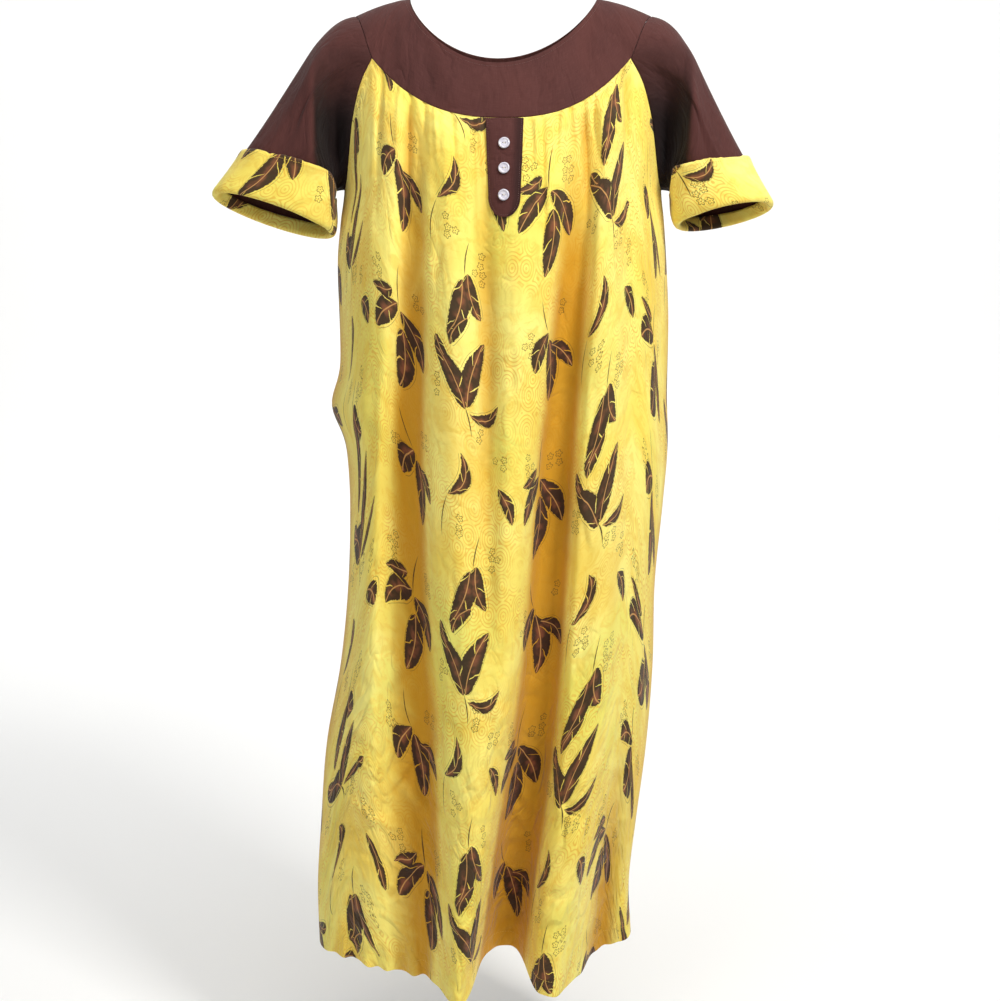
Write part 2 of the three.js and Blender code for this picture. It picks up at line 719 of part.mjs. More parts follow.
const front = sewnPieces[0];
const middleColumn = Math.round(frontGrid[0].length / 2);
const panelHeights = front.cut.map((row) => row[middleColumn].z);
const straightHeights = [TAB.top, TAB.shoulder, ...panelHeights, ...panelHeights.map(
  (z, j) => (z + panelHeights[Math.max(j - 1, 0)]) / 2)]
  .filter((z) => z <= TAB.top && z >= TAB.shoulder)
  .sort((a, b) => b - a);
const tabOutline = [
  ...straightHeights.map((z) => {
    const t = (z - TAB.top) / (TAB.shoulder - TAB.top);
    return tabRow(z, lerp(TAB.halfTop, TAB.halfLow, t));
  }),
  ...TAB_TIP_ROWS.map((t) => tabRow(
    lerp(TAB.shoulder, TAB.tip, t), Math.max(TAB.halfLow * (1 - t ** 1.7), 2.5))),
];
const tabBase = tabOutline.map((row) => row.map(({ x, z }) => onGrid(front.cut, front.normals, x, z)));
const tabNormals = tabBase.map((row) => row.map(({ normal }) => normal));
const tabGrid = tabBase.map((row) => row.map(
  ({ point, normal }) => point.addScaledVector(normal, TAB_LIFT + CLOTH)));
add("placket", wallGeometry(tabGrid, tabNormals, false, CLOTH), brown);

// Buttons: turned discs with a rim round a shallow dish, flat on the tab
const BUTTON_LIFT = 0.35;
const BUTTON_SIDES = 20;
const buttonProfile = [
  [0, 0],
  [BUTTON.radius - 0.8, 0],
  [BUTTON.radius, 1],
  [BUTTON.radius, BUTTON.thick - 0.6],
  [BUTTON.radius - 0.7, BUTTON.thick],
  [BUTTON.radius - BUTTON.rim, BUTTON.thick - 0.2],
  [BUTTON.radius - 2.4, BUTTON.thick - BUTTON.dish],
  [0, BUTTON.thick - BUTTON.dish],
].map(([radius, height]) => new THREE.Vector2(radius, height));

for (const [name, z] of Object.entries(BUTTON_HEIGHTS)) {
  const seat = onGrid(tabGrid, tabNormals, TAB.x, z);
  const button = add(name, new THREE.LatheGeometry(buttonProfile, BUTTON_SIDES), pearl);
  button.quaternion.setFromUnitVectors(new THREE.Vector3(0, 1, 0), seat.normal);
  button.position.copy(seat.point).addScaledVector(seat.normal, BUTTON_LIFT);
}

export default dress;
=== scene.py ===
import math

import bmesh
import bpy
import numpy as np
from mathutils import Matrix, Vector


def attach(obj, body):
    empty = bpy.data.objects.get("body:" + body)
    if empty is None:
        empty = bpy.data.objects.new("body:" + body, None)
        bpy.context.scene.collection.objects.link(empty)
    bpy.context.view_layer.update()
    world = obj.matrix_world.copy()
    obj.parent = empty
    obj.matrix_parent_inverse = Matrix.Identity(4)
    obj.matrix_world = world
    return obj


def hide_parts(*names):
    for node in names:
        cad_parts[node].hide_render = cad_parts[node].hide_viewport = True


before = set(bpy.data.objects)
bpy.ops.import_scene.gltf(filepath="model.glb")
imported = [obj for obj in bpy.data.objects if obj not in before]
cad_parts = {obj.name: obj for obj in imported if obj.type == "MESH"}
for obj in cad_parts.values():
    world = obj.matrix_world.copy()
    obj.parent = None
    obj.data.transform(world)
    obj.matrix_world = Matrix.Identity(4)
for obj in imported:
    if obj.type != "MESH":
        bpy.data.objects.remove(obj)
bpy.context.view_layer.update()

# A full-length muumuu dress in its worn form. The tables hold millimetres, as the pattern does,
# and the finished meshes are metres. The front faces -Y, +Z is up, "left" is the -X side.
MM = 0.001

# The pattern's sizes
HEM = -1270
NECK_HALF_WIDTH = 118
NECK_SHIFT = 7
SHOULDER_X, SHOULDER_Z = 189, -22
SIDE_ROUNDING = 2.4
NECK = {
    "front": dict(drop=85, depth=95, seam_middle=-152, seam_corner=-78),
    "back": dict(drop=66, depth=78, seam_middle=-126, seam_corner=-78),
}
NECK_DROP_POWER = 1.5
NECK_DEPTH_POWER = 0.8
SEAM_CURVE_POWER = 2.6

# Height, left and right edge, depth of the front and of the back
SECTIONS = np.array([
    [0, -214, 212, 72, 70], [-80, -213, 211, 94, 84], [-152, -212, 210, 122, 99],
    [-210, -208, 206, 138, 104], [-238, -205, 203, 145, 107], [-276, -210, 207, 150, 110],
    [-327, -215, 211, 152, 112], [-400, -214, 215, 152, 114], [-500, -212, 215, 152, 121],
    [-570, -207, 217, 153, 129], [-644, -204, 212, 154, 133], [-754, -208, 203, 154, 136],
    [-865, -220, 202, 153, 140], [-978, -241, 195, 151, 146], [-1093, -251, 182, 150, 154],
    [-1180, -257, 174, 150, 160], [-1270, -256, 179, 150, 166],
], float)
SIDE_FULLNESS = dict(z=-516, tall=34, out=15, power=6)
RAGLAN = np.array([
    [0, -78], [0.3, -108], [0.53, -152], [0.64, -182], [0.77, -213], [0.9, -231], [1, -238],
], float)
CORNER_ANGLE = dict(left=49.9, right=48.2, back=49)

# Long folds: x at five heights, half width at the top and the hem, how far out at the heights,
# how much steeper the right side is than the left, and the power of a flat-floored hollow
FOLD_HEIGHTS = [-200, -370, -600, -900, -1250]
LONG_FOLDS = {
    "front": [
        ([-150, -158, -178, -195, -205], (22, 42), [6, 10, 12, 7, -32], 0, 2),
        ([-108, -112, -120, -116, -112], (14, 48), [-10, -21, -38, -42, -36], 0.15, 4),
        ([-69, -62, -60, -48, -66], (20, 30), [6, 12, 14, 20, 42], 0, 2),
        ([-28, -21, -19, -14, -12], (12, 16), [-6, -10, -9, -4, 0], 0, 2),
        ([17, 18, 4, -18, -44], (20, 22), [4, 10, 13, 17, 18], 0, 2),
        ([98, 86, 68, 48, 0], (20, 36), [-14, -30, -46, -56, -86], 0.15, 4),
        ([128, 128, 132, 120, 64], (18, 30), [7, 12, 13, 18, 34], 0, 2),
        ([152, 156, 165, 158, 136], (13, 30), [-6, -9, -10, -11, -58], 0, 2),
        ([176, 182, 188, 180, 165], (16, 22), [4, 6, 7, 8, -10], 0, 2),
    ],
    "back": [
        ([-150, -156, -166, -188, -205], (24, 32), [4, 6, 8, 9, 12], 0, 2),
        ([-116, -112, -122, -138, -150], (16, 26), [-6, -9, -12, -16, -22], 0, 2),
        ([-72, -64, -74, -86, -94], (22, 30), [5, 7, 9, 13, 20], 0, 2),
        ([-30, -22, -28, -42, -48], (15, 22), [-5, -8, -10, -14, -20], 0, 2),
        ([24, 20, 14, 0, -4], (22, 28), [5, 8, 10, 14, 20], 0, 2),
        ([66, 70, 60, 42, 40], (16, 24), [-6, -10, -13, -17, -24], 0, 2),
        ([108, 112, 104, 88, 84], (22, 28), [4, 7, 10, 13, 18], 0, 2),
        ([146, 152, 150, 132, 126], (15, 22), [-4, -6, -9, -12, -16], 0, 2),
    ],
}
# Gathers under the yoke: x at the seam, x where it dies out, half width, depth, length
GATHERS = {
    "front": [
        (-136, -140, 7, 3.2, 110), (-120, -124, 7, 3.6, 90), (-104, -104, 7, 4.2, 130),
        (-88, -84, 7, 3.4, 90), (-73, -66, 7.5, 4.8, 150), (-57, -48, 7, 3.4, 100),
        (-42, -32, 7, 5.6, 170), (42, 47, 7, 4.4, 120), (57, 60, 7, 3.4, 90),
        (72, 76, 7, 4.2, 110), (87, 98, 7.5, 5.6, 170), (103, 114, 7, 3.6, 110),
        (118, 132, 7, 4.8, 140), (134, 146, 7, 3.6, 100),
    ],
    "back": [
        (-132, -138, 10, 3.8, 110), (-106, -110, 10, 4.4, 150), (-80, -82, 10, 3.6, 100),
        (-54, -52, 10, 4.6, 140), (-27, -26, 10, 3.8, 110), (0, 2, 10, 4.2, 150),
        (27, 28, 10, 3.6, 100), (54, 58, 10, 4.6, 140), (80, 84, 10, 4.0, 110),
        (106, 112, 10, 4.4, 150), (132, 138, 10, 3.6, 110),
    ],
}
FOLD_START = 45
SIDE_FADE_POWER = 8
HEM_LIFTS = {
    "front": [(0, 36, 22, 4), (178, 62, 19, 2), (-235, 70, 9, 2)],
    "back": [(178, 62, 19, 2), (-235, 70, 9, 2)],
}
SLEEVES = {
    "left": dict(side=-1, middle=(-291, -45, -267), outward=(-75, 0, 24), forward=(0, -44, 17),
                 ridge_x=(234, 235)),
    "right": dict(side=1, middle=(279, -45, -268), outward=(60, 0, 12), forward=(0, -44, 15),
                  ridge_x=(236, 228)),
}
SLEEVE_SWELL = 13
SLEEVE_LEAVE = dict(top=0.18, under=0.5, under_angle=110, droop=0.02, settle=0.6)
SLEEVE_CUFF_STEP = 0.005
SLEEVE_FOLD = dict(
    top=-45, foot=-205, fade_top=10, fade_foot=30, fade=50, seam_share=0.15,
    wide=13, ridge_out=10, edge=17, hollow_in=(2, 25),
)
CUFF_HEIGHT = 61
CUFF_UNDERARM_SHARE = 0.6
NECK_CORNER_ANGLE = 62
YOKE_SWELL = 3
YOKE_DEPTH_POWER, YOKE_RISE_POWER = 0.9, 1.1

# Creases that the cloth has besides its large folds, listed one by one
# Pleats that leave the yoke: x and z at both ends, half width, how far out
PLEATS = {
    "front": [
        (-39, -150, -33, -330, 3.2, -3.4), (-30, -152, -22, -240, 2.2, 1.8),
        (-64, -141, -56, -250, 2.8, -2.4), (-84, -133, -80, -214, 2.6, 1.6),
        (-97, -127, -93, -224, 3.0, -2.2), (-114, -116, -119, -310, 3.6, -3.2),
        (-127, -108, -131, -196, 3.0, 1.7), (-150, -92, -158, -280, 3.8, -2.8),
        (46, -150, 50, -330, 3.2, -3.4), (38, -152, 41, -214, 2.2, 1.7),
        (66, -142, 64, -222, 2.6, -2.0), (80, -137, 87, -200, 2.8, -2.2),
        (97, -128, 106, -310, 3.6, -3.6), (108, -122, 121, -240, 3.0, -2.6),
        (127, -108, 143, -200, 3.0, 1.7), (148, -92, 156, -300, 3.8, -3.0),
    ],
    "back": [
        (-66, -122, -70, -220, 3.0, -2.2), (-40, -126, -40, -250, 3.0, 2.0),
        (-14, -126, -14, -214, 2.8, -2.2), (13, -126, 15, -236, 3.0, 2.0),
        (40, -126, 43, -216, 2.8, -2.2), (67, -122, 71, -244, 3.0, 2.2),
        (93, -112, 98, -206, 3.0, -2.0), (-93, -112, -97, -214, 3.0, 2.0),
        (-120, -100, -124, -226, 3.2, -2.4), (120, -100, 126, -238, 3.2, -2.2),
    ],
}
# Straight soft creases: the same columns
CREASES = {
    "front": [
        # long soft lines between the folds
        (-96, -330, -92, -610, 8, -2.6), (-30, -420, -34, -700, 7, 2.2),
        (34, -330, 36, -640, 7, -2.4), (130, -300, 134, -520, 7, -2.6),
        (-160, -420, -176, -690, 9, -2.8), (188, -330, 194, -560, 8, 2.2),
        (90, -640, 78, -900, 8, 2.6), (-84, -700, -86, -960, 8, -2.8),
        # pull lines from the full place at the side
        (-206, -516, -150, -548, 8, -2.6), (-204, -560, -158, -604, 9, 2.4),
        (-206, -468, -162, -446, 8, 2.0),
        # slack diagonal creases in the lower skirt
        (-236, -900, -168, -950, 8, 2.6), (-240, -968, -150, -930, 7, -2.6),
        (-232, -1020, -140, -1066, 7, 2.8), (-222, -1086, -150, -1050, 6, -2.6),
        (-216, -1120, -132, -1154, 6, 2.2), (-150, -990, -96, -1046, 7, 2.4),
        (-126, -1076, -78, -1112, 6, -2.2), (-96, -1140, -48, -1118, 6, 2.0),
        (66, -1010, 120, -1046, 7, -2.4), (80, -1090, 138, -1060, 6, 2.2),
        (96, -1148, 150, -1176, 6, -2.0), (28, -930, 82, -960, 7, 2.0),
        (150, -930, 196, -986, 7, 2.2), (148, -1056, 184, -1024, 6, -2.0),
        (-40, -860, 18, -906, 8, 1.8), (-36, -1010, 6, -1060, 6, -1.8),
    ],
    "back": [
        (-44, -330, -50, -640, 9, 2.6), (42, -360, 36, -600, 8, -2.6),
        (-134, -320, -146, -560, 8, 2.4), (128, -330, 124, -640, 9, 2.6),
        (88, -640, 70, -920, 9, -2.8), (-120, -660, -132, -930, 9, 2.6),
        (-204, -516, -146, -552, 8, -2.4), (-226, -930, -168, -976, 8, 2.4),
        (-232, -1030, -172, -1000, 7, -2.4), (140, -960, 182, -1000, 7, 2.2),
        (96, -1060, 140, -1094, 7, -2.2), (-20, -1010, 30, -1046, 8, 2.0),
        (-110, -1100, -60, -1130, 7, 2.0), (20, -1130, 70, -1104, 7, -2.0),
    ],
}
# Flutes that rise from the hem: x, half width, out at the hem, how high they reach
HEM_FLUTES = {
    "front": [
        (-250, 8, 3.4, 70), (-233, 7, -3.4, 60), (-217, 7, 4.2, 90), (-201, 7, -3.8, 74),
        (-186, 7, 3.6, 64), (-170, 8, -4.4, 96), (-153, 7, 3.8, 70), (-137, 7, -3.8, 60),
        (-121, 8, 4.0, 84), (-104, 7, -3.2, 64), (-30, 6, -3.6, 76), (-17, 6, 2.8, 52),
        (26, 7, -3.4, 66), (72, 8, 3.4, 78), (88, 7, -3.0, 56), (104, 7, 3.4, 66),
        (120, 7, -3.0, 60), (150, 8, 3.0, 70), (166, 7, -2.6, 50),
    ],
    "back": [
        (-236, 9, 3.2, 80), (-206, 9, -3.4, 70), (-176, 9, 3.0, 64), (-122, 9, 3.4, 84),
        (-70, 9, -3.0, 60), (-22, 9, 3.2, 76), (18, 9, -3.0, 60), (66, 9, 3.4, 80),
        (108, 9, -3.0, 66), (150, 8, 3.2, 70),
    ],
}
# Yoke: x across, half width, depth, from and to (0 at the neck, 1 at the seam)
YOKE_CREASES = {
    "front": [
        (-92, 9, -1.5, 0.1, 0.95), (-62, 8, 1.1, 0.3, 1.0), (-28, 6, -0.9, 0.45, 1.0),
        (16, 6, 0.8, 0.0, 0.5), (44, 8, -1.6, 0.05, 0.95), (66, 7, 1.2, 0.1, 0.9),
        (100, 8, -1.9, 0.0, 0.9), (122, 8, 1.3, 0.15, 0.85), (-124, 9, 1.2, 0.1, 0.8),
    ],
    "back": [
        (-96, 9, -1.4, 0.0, 0.9), (-50, 9, 1.0, 0.1, 1.0), (-6, 8, -1.0, 0.2, 1.0),
        (40, 9, 1.1, 0.0, 0.9), (88, 9, -1.4, 0.1, 1.0), (122, 8, 1.1, 0.1, 0.9),
    ],
}
# Sleeves: degrees round (0 over the arm, 90 in front, -90 behind) and share of the way down at
# both ends, half width in degrees, how far out
SLEEVE_CREASES = {
    "left": [
        (40, 0.25, 58, 0.96, 5, 2.0), (52, 0.2, 78, 0.96, 5, -2.2), (66, 0.3, 98, 0.96, 5, 1.8),
        (22, 0.3, 36, 0.96, 6, -1.8), (84, 0.45, 118, 0.96, 5, -1.6),
        (-40, 0.2, -58, 0.96, 6, 2.0), (-64, 0.25, -84, 0.96, 6, -2.2),
        (-92, 0.3, -112, 0.96, 6, 1.8), (-16, 0.3, -26, 0.96, 6, -1.5),
    ],
    "right": [
        (36, 0.25, 50, 0.96, 5, -2.0), (50, 0.2, 70, 0.96, 5, 2.2), (64, 0.3, 92, 0.96, 5, -1.9),
        (20, 0.3, 30, 0.96, 6, 1.7), (86, 0.45, 112, 0.96, 5, 1.6),
        (-36, 0.2, -54, 0.96, 6, -2.0), (-60, 0.25, -80, 0.96, 6, 2.2),
        (-90, 0.3, -110, 0.96, 6, -1.8), (-14, 0.3, -24, 0.96, 6, 1.5),
    ],
}

# Small uneven scallops along the hem: x, half width, how far up
HEM_SCALLOPS = [
    (-248, 6, 2.6), (-228, 7, 3.4), (-207, 6, 2.2), (-190, 8, 3.8), (-168, 6, 2.4), (-149, 8, 3.2),
    (-128, 6, 2.0), (-106, 9, 3.6), (-84, 7, 2.0), (-58, 8, 2.6), (-34, 6, 1.8), (34, 7, 2.2),
    (52, 8, 1.6), (78, 7, 3.0), (97, 6, 1.8), (116, 8, 3.2), (138, 6, 2.0), (157, 7, 2.8),
]
# The tables' depths are multiplied by these
CREASE_DEPTH, PLEAT_DEPTH, YOKE_CREASE_DEPTH = 1.5, 1.3, 1.6
# Powers of the fade towards the ends of creases and up the flutes, and how much flutes widen
CREASE_FADE, YOKE_CREASE_FADE, FLUTE_FADE, FLUTE_SPREAD = 0.8, 0.7, 1.6, 0.5
# Small slack crumples, most of them low in the skirt: how many, the share that lies low, how far
# across and up they lie, lean and its spread in degrees, and length, half width and depth of the
# least and the greatest
CRUMPLES = dict(
    count=dict(front=150, back=110), seed=dict(front=11, back=23), low_share=0.68,
    across=(-235, 190), low=(-1240, -880), high=(-880, -260), low_lean=(0, 34), high_lean=(90, 26),
    length=(34, 100), wide=(3.4, 7.5), depth=(1.0, 3.7),
)

# The cloth's thickness, in the walls, at the turned hem and at the yoke's turned neck edge
CLOTH, HEM_THICK, NECK_THICK = 0.9, 1.9, 1.7
HEM_TURN = 22
NECK_TURN_SHARE = 0.16
# Each sewn edge turns in over ROLL, on ROLL_ROWS rows, and is drawn back by SEAM_PULL
ROLL, ROLL_DEPTH, ROLL_ROWS = 1.1, 0.9, 5
SEAM_PULL = 0.12
CLOSE_ANGLES = np.array([0.16, 0.36, 0.64])

# Distances of the close rows beside a seam and above the hem
NEAR_SEAM = np.array([0, 0.35, 0.8, 1.5, 3, 5.5, 9, 13, 18])
NEAR_EDGE = NEAR_SEAM[:5]
NEAR_HEM = np.array([0, 0.5, 1.4, 3.5, 8, 14, 19, 21.5, 23, 24.5, 27, 32])
# How many rows a panel has near the yoke, in the middle and low in the skirt, and their spacing
PANEL_ROWS = dict(front=(24, 60, 78), back=(20, 52, 62))
ROW_SPACING = dict(front=(6, 9, 5), back=(7.2, 10.4, 6.3))
YOKE_ROWS, SLEEVE_ROWS, CUFF_ROWS = 18, 44, 14
SIDE_SHARES = np.linspace(0, 1, 13)


# Curves and small helpers
def smooth_curve(xs, ys):
    order = np.argsort(xs)
    xs, ys = np.asarray(xs, float)[order], np.asarray(ys, float)[order]
    before = np.maximum(np.arange(len(xs)) - 1, 0)
    after = np.minimum(np.arange(len(xs)) + 1, len(xs) - 1)
    slopes = (ys[after] - ys[before]) / (xs[after] - xs[before])

    def at(value):
        x = np.clip(value, xs[0], xs[-1])
        i = np.clip(np.searchsorted(xs, x, side="right") - 1, 0, len(xs) - 2)
        span = xs[i + 1] - xs[i]
        t = (x - xs[i]) / span
        rise = 3 * t * t - 2 * t ** 3
        bend = slopes[i] * t * (1 - t) ** 2 * span - slopes[i + 1] * t * t * (1 - t) * span
        return ys[i] * (1 - rise) + ys[i + 1] * rise + bend

    return at


def lerp(a, b, t):
    return a + (b - a) * t


def ease(t):
    s = np.clip(t, 0, 1)
    return s * s * (3 - 2 * s)


def bump(distance, wide, power=2):
    return np.exp(-(np.abs(distance / wide) ** power))


def sind(degrees):
    return np.sin(np.radians(degrees))


def cosd(degrees):
    return np.cos(np.radians(degrees))


section = {
    name: smooth_curve(SECTIONS[:, 0], SECTIONS[:, i + 1])
    for i, name in enumerate(["left", "right", "front", "back"])
}
raglan_height = smooth_curve(RAGLAN[:, 0], RAGLAN[:, 1])
OUTWARD = dict(front=-1, back=1)


# The body
def middle_and_half(z):
    left, right = section["left"](z), section["right"](z)
    return (left + right) / 2, (right - left) / 2


def body_point(face, across, z):
    middle, half = middle_and_half(z)
    bow = np.sqrt(np.maximum(0, 1 - np.abs(across) ** SIDE_ROUNDING))
    full = SIDE_FULLNESS["out"] * bump(z - SIDE_FULLNESS["z"], SIDE_FULLNESS["tall"])
    pushed = np.where(across < 0, full * np.abs(across) ** SIDE_FULLNESS["power"], 0)
    return np.stack(np.broadcast_arrays(
        middle + half * across - pushed, OUTWARD[face] * section[face](z) * bow, z), -1)


def top_height(face, across):
    if face == "back":
        corner = sind(CORNER_ANGLE["back"])
    else:
        corner = np.where(across < 0, sind(CORNER_ANGLE["left"]), sind(CORNER_ANGLE["right"]))
    share = np.abs(across) / corner
    size = NECK[face]
    seam = lerp(size["seam_middle"], size["seam_corner"],
                np.minimum(share, 1) ** SEAM_CURVE_POWER)
    raglan = raglan_height((np.abs(across) - corner) / (1 - corner))
    return np.where(share <= 1, seam, raglan)


long_folds = {
    face: [(smooth_curve(FOLD_HEIGHTS, x), wide, smooth_curve(FOLD_HEIGHTS, out), steep, power)
           for x, wide, out, steep, power in folds]
    for face, folds in LONG_FOLDS.items()
}


def large_folds(face, x, z, z_top):
    below = z_top - z
    down = np.clip((z - FOLD_HEIGHTS[0]) / (HEM - FOLD_HEIGHTS[0]), 0, 1)
    out = np.zeros_like(x)
    for fold_x, wide, fold_out, steep, power in long_folds[face]:
        away = x - fold_x(z)
        out += fold_out(z) * bump(away, lerp(wide[0], wide[1], down) * (
            1 - np.sign(away) * steep), power)
    out *= ease(below / FOLD_START)
    for seam_x, end_x, wide, depth, length in GATHERS[face]:
        t = np.clip(below / length, 0, 1)
        swell = np.sin(np.pi * np.sqrt(t))
        out += depth * swell * bump(x - lerp(seam_x, end_x, t), wide * (1 + t))
    return out


def crumple_lines(face):
    """Short creases in the columns of the listed ones, at random places."""
    rng = np.random.default_rng(CRUMPLES["seed"][face])
    lines = []
    for _ in range(CRUMPLES["count"][face]):
        level = "low" if rng.random() < CRUMPLES["low_share"] else "high"
        x = rng.uniform(*CRUMPLES["across"])
        z = rng.uniform(*CRUMPLES[level])
        lean = math.radians(rng.normal(*CRUMPLES[level + "_lean"]))
        half = rng.uniform(*CRUMPLES["length"]) / 2
        depth = rng.uniform(*CRUMPLES["depth"]) * rng.choice([-1, 1])
        lines.append((x - half * math.cos(lean), z - half * math.sin(lean),
                      x + half * math.cos(lean), z + half * math.sin(lean),
                      rng.uniform(*CRUMPLES["wide"]), depth))
    return lines


crumples = {face: crumple_lines(face) for face in OUTWARD}


def crease_height(lines, x, z, start_share=1.0):
    """How far straight creases stand out. start_share under 1 makes them deep near their start."""
    out = np.zeros_like(x)
    for x0, z0, x1, z1, wide, depth in lines:
        run = np.hypot(x1 - x0, z1 - z0)
        along = ((x - x0) * (x1 - x0) + (z - z0) * (z1 - z0)) / run ** 2
        side = ((x - x0) * (z1 - z0) - (z - z0) * (x1 - x0)) / run
        fade = np.sin(np.pi * np.clip(along, 0, 1) ** start_share) ** CREASE_FADE
        out += depth * fade * bump(side, wide)
    return out


def creases(face, x, z, z_hem):
    out = PLEAT_DEPTH * crease_height(PLEATS[face], x, z, 0.5)
    out += crease_height(CREASES[face], x, z)
    out = CREASE_DEPTH * out + crease_height(crumples[face], x, z)
    for flute_x, wide, depth, reach in HEM_FLUTES[face]:
        up = np.clip((z - z_hem) / reach, 0, 1)
        out += CREASE_DEPTH * depth * (1 - up) ** FLUTE_FADE * bump(
            x - flute_x, wide * (1 + FLUTE_SPREAD * up))
    return out


def hem_lift(face, x):
    return sum(height * bump(x - at, wide, power) for at, wide, height, power in HEM_LIFTS[face])


def angle_steps(start, end, count, close_start, close_end):
    """Angles from start to end, with the extra close ones that a rolled seam edge needs."""
    even = np.linspace(start, end, count + 1)
    way = np.sign(end - start)
    parts = [even[:1]]
    if close_start:
        parts.append(start + way * CLOSE_ANGLES)
    parts.append(even[1:-1])
    if close_end:
        parts.append(end - way * CLOSE_ANGLES[::-1])
    parts.append(even[-1:])
    return np.concatenate(parts)


def panel_at(face, angle, z, z_top, z_hem, fine=True):
    across = sind(angle)
    point = body_point(face, across, z)
    side_fade = 1 - np.abs(across) ** SIDE_FADE_POWER
    out = large_folds(face, point[..., 0], z, z_top)
    if fine:
        out = out + creases(face, point[..., 0], z, z_hem)
    point[..., 1] += OUTWARD[face] * out * side_fade
    return point


def panel_hem(face, angle):
    across = sind(angle)
    hem_x = body_point(face, across, np.full_like(across, float(HEM)))[..., 0]
    scallops = sum(up * bump(hem_x - x, wide) for x, wide, up in HEM_SCALLOPS)
    return HEM + hem_lift(face, hem_x) + scallops * (1 - np.abs(across) ** SIDE_FADE_POWER)


def panel_grid(face, angles):
    z_top = top_height(face, sind(angles))
    z_hem = panel_hem(face, angles)
    start, end = z_top - NEAR_SEAM[-1], z_hem + NEAR_HEM[-1]
    spacing = np.repeat(ROW_SPACING[face], PANEL_ROWS[face])
    t = (np.cumsum(spacing) / spacing.sum())[:-1, None]
    z = np.concatenate([
        z_top - NEAR_SEAM[:, None], lerp(start, end, t), z_hem + NEAR_HEM[::-1, None]])
    angle = np.broadcast_to(angles, z.shape)
    return panel_at(face, angle, z, np.broadcast_to(z_top, z.shape),
                    np.broadcast_to(z_hem, z.shape))


def seam_line(face, angles):
    """The top edge of a panel, where the yoke or a sleeve is sewn on."""
    z = top_height(face, sind(angles))
    return panel_at(face, angles, z, z, panel_hem(face, angles), fine=False)


# The yokes
def yoke_side(corner, t):
    side = np.sign(corner[0])
    return np.stack([
        lerp(corner[0], side * SHOULDER_X, t), corner[1] * cosd(90 * t) ** YOKE_DEPTH_POWER,
        lerp(corner[2], SHOULDER_Z, sind(90 * t) ** YOKE_RISE_POWER)], -1)


def neck_point(face, angle):
    size = NECK[face]
    middle = np.maximum(cosd(angle), 0)
    return np.stack([
        NECK_HALF_WIDTH * sind(angle) - NECK_SHIFT * middle,
        OUTWARD[face] * size["depth"] * middle ** NECK_DEPTH_POWER,
        -size["drop"] * middle ** NECK_DROP_POWER], -1)


def yoke_grid(face, seam_angles):
    seam = seam_line(face, seam_angles)
    first, last = seam[0], seam[-1]
    sides = SIDE_SHARES[1:]
    outer = np.concatenate([
        yoke_side(first, sides)[::-1], seam, yoke_side(last, sides)])
    same = (seam[:, 0] < 0) == (first[0] < 0)
    share = seam[:, 0] / np.abs(np.where(same, first[0], last[0]))
    middle_angles = np.degrees(np.arcsin(np.clip(share * sind(NECK_CORNER_ANGLE), -1, 1)))
    side_angles = lerp(NECK_CORNER_ANGLE, 90, sides)
    neck_angles = np.concatenate([
        np.sign(first[0]) * side_angles[::-1], middle_angles, np.sign(last[0]) * side_angles])
    inner = neck_point(face, neck_angles)
    width = np.linalg.norm(outer - inner, axis=-1)
    near = np.minimum(NEAR_EDGE[:, None] / width, 0.5)
    t = np.concatenate([
        near, lerp(near[-1], 1 - near[-1], np.linspace(0, 1, YOKE_ROWS)[1:-1, None]),
        1 - near[::-1]])
    swell = YOKE_SWELL * np.sin(np.pi * t)
    middle = np.maximum(cosd(neck_angles), 0)
    grid = inner + (outer - inner) * t[..., None]
    grid[..., 1] += OUTWARD[face] * swell * middle
    grid[..., 2] += swell * (1 - middle)
    return grid, t


# The sleeves
def armhole(side, angles):
    front = seam_line("front", angles["front_left" if side < 0 else "front_right"])
    back = seam_line("back", angles["back_left" if side < 0 else "back_right"])
    if side > 0:
        front = front[::-1]
    if side < 0:
        back = back[::-1]
    front = np.concatenate([front, yoke_side(front[-1], SIDE_SHARES[1:])])
    back = np.concatenate([back, yoke_side(back[-1], SIDE_SHARES[1:])])
    return front, back


def shares(points):
    lengths = np.concatenate([[0], np.cumsum(np.linalg.norm(np.diff(points, axis=0), axis=1))])
    return lengths / lengths[-1]


def beside_ridge(sleeve, point):
    """How far down the upright fold a place lies, from 0 to 1, and how far inward of its ridge."""
    fold = SLEEVE_FOLD
    down = np.clip((fold["top"] - point[..., 2]) / (fold["top"] - fold["foot"]), 0, 1)
    return down, lerp(*sleeve["ridge_x"], down) - point[..., 0] * sleeve["side"]


def front_fold(sleeve, point):
    fold = SLEEVE_FOLD
    down, inward = beside_ridge(sleeve, point)
    fade = ease((fold["top"] + fold["fade_top"] - point[..., 2]) / fold["fade"]) * ease(
        (point[..., 2] - fold["foot"] + fold["fade_foot"]) / fold["fade"])
    ridge = fold["ridge_out"] * bump(inward, fold["wide"])
    hollow = lerp(*fold["hollow_in"], down) * ease(inward / fold["edge"])
    return fade * (hollow - ridge)


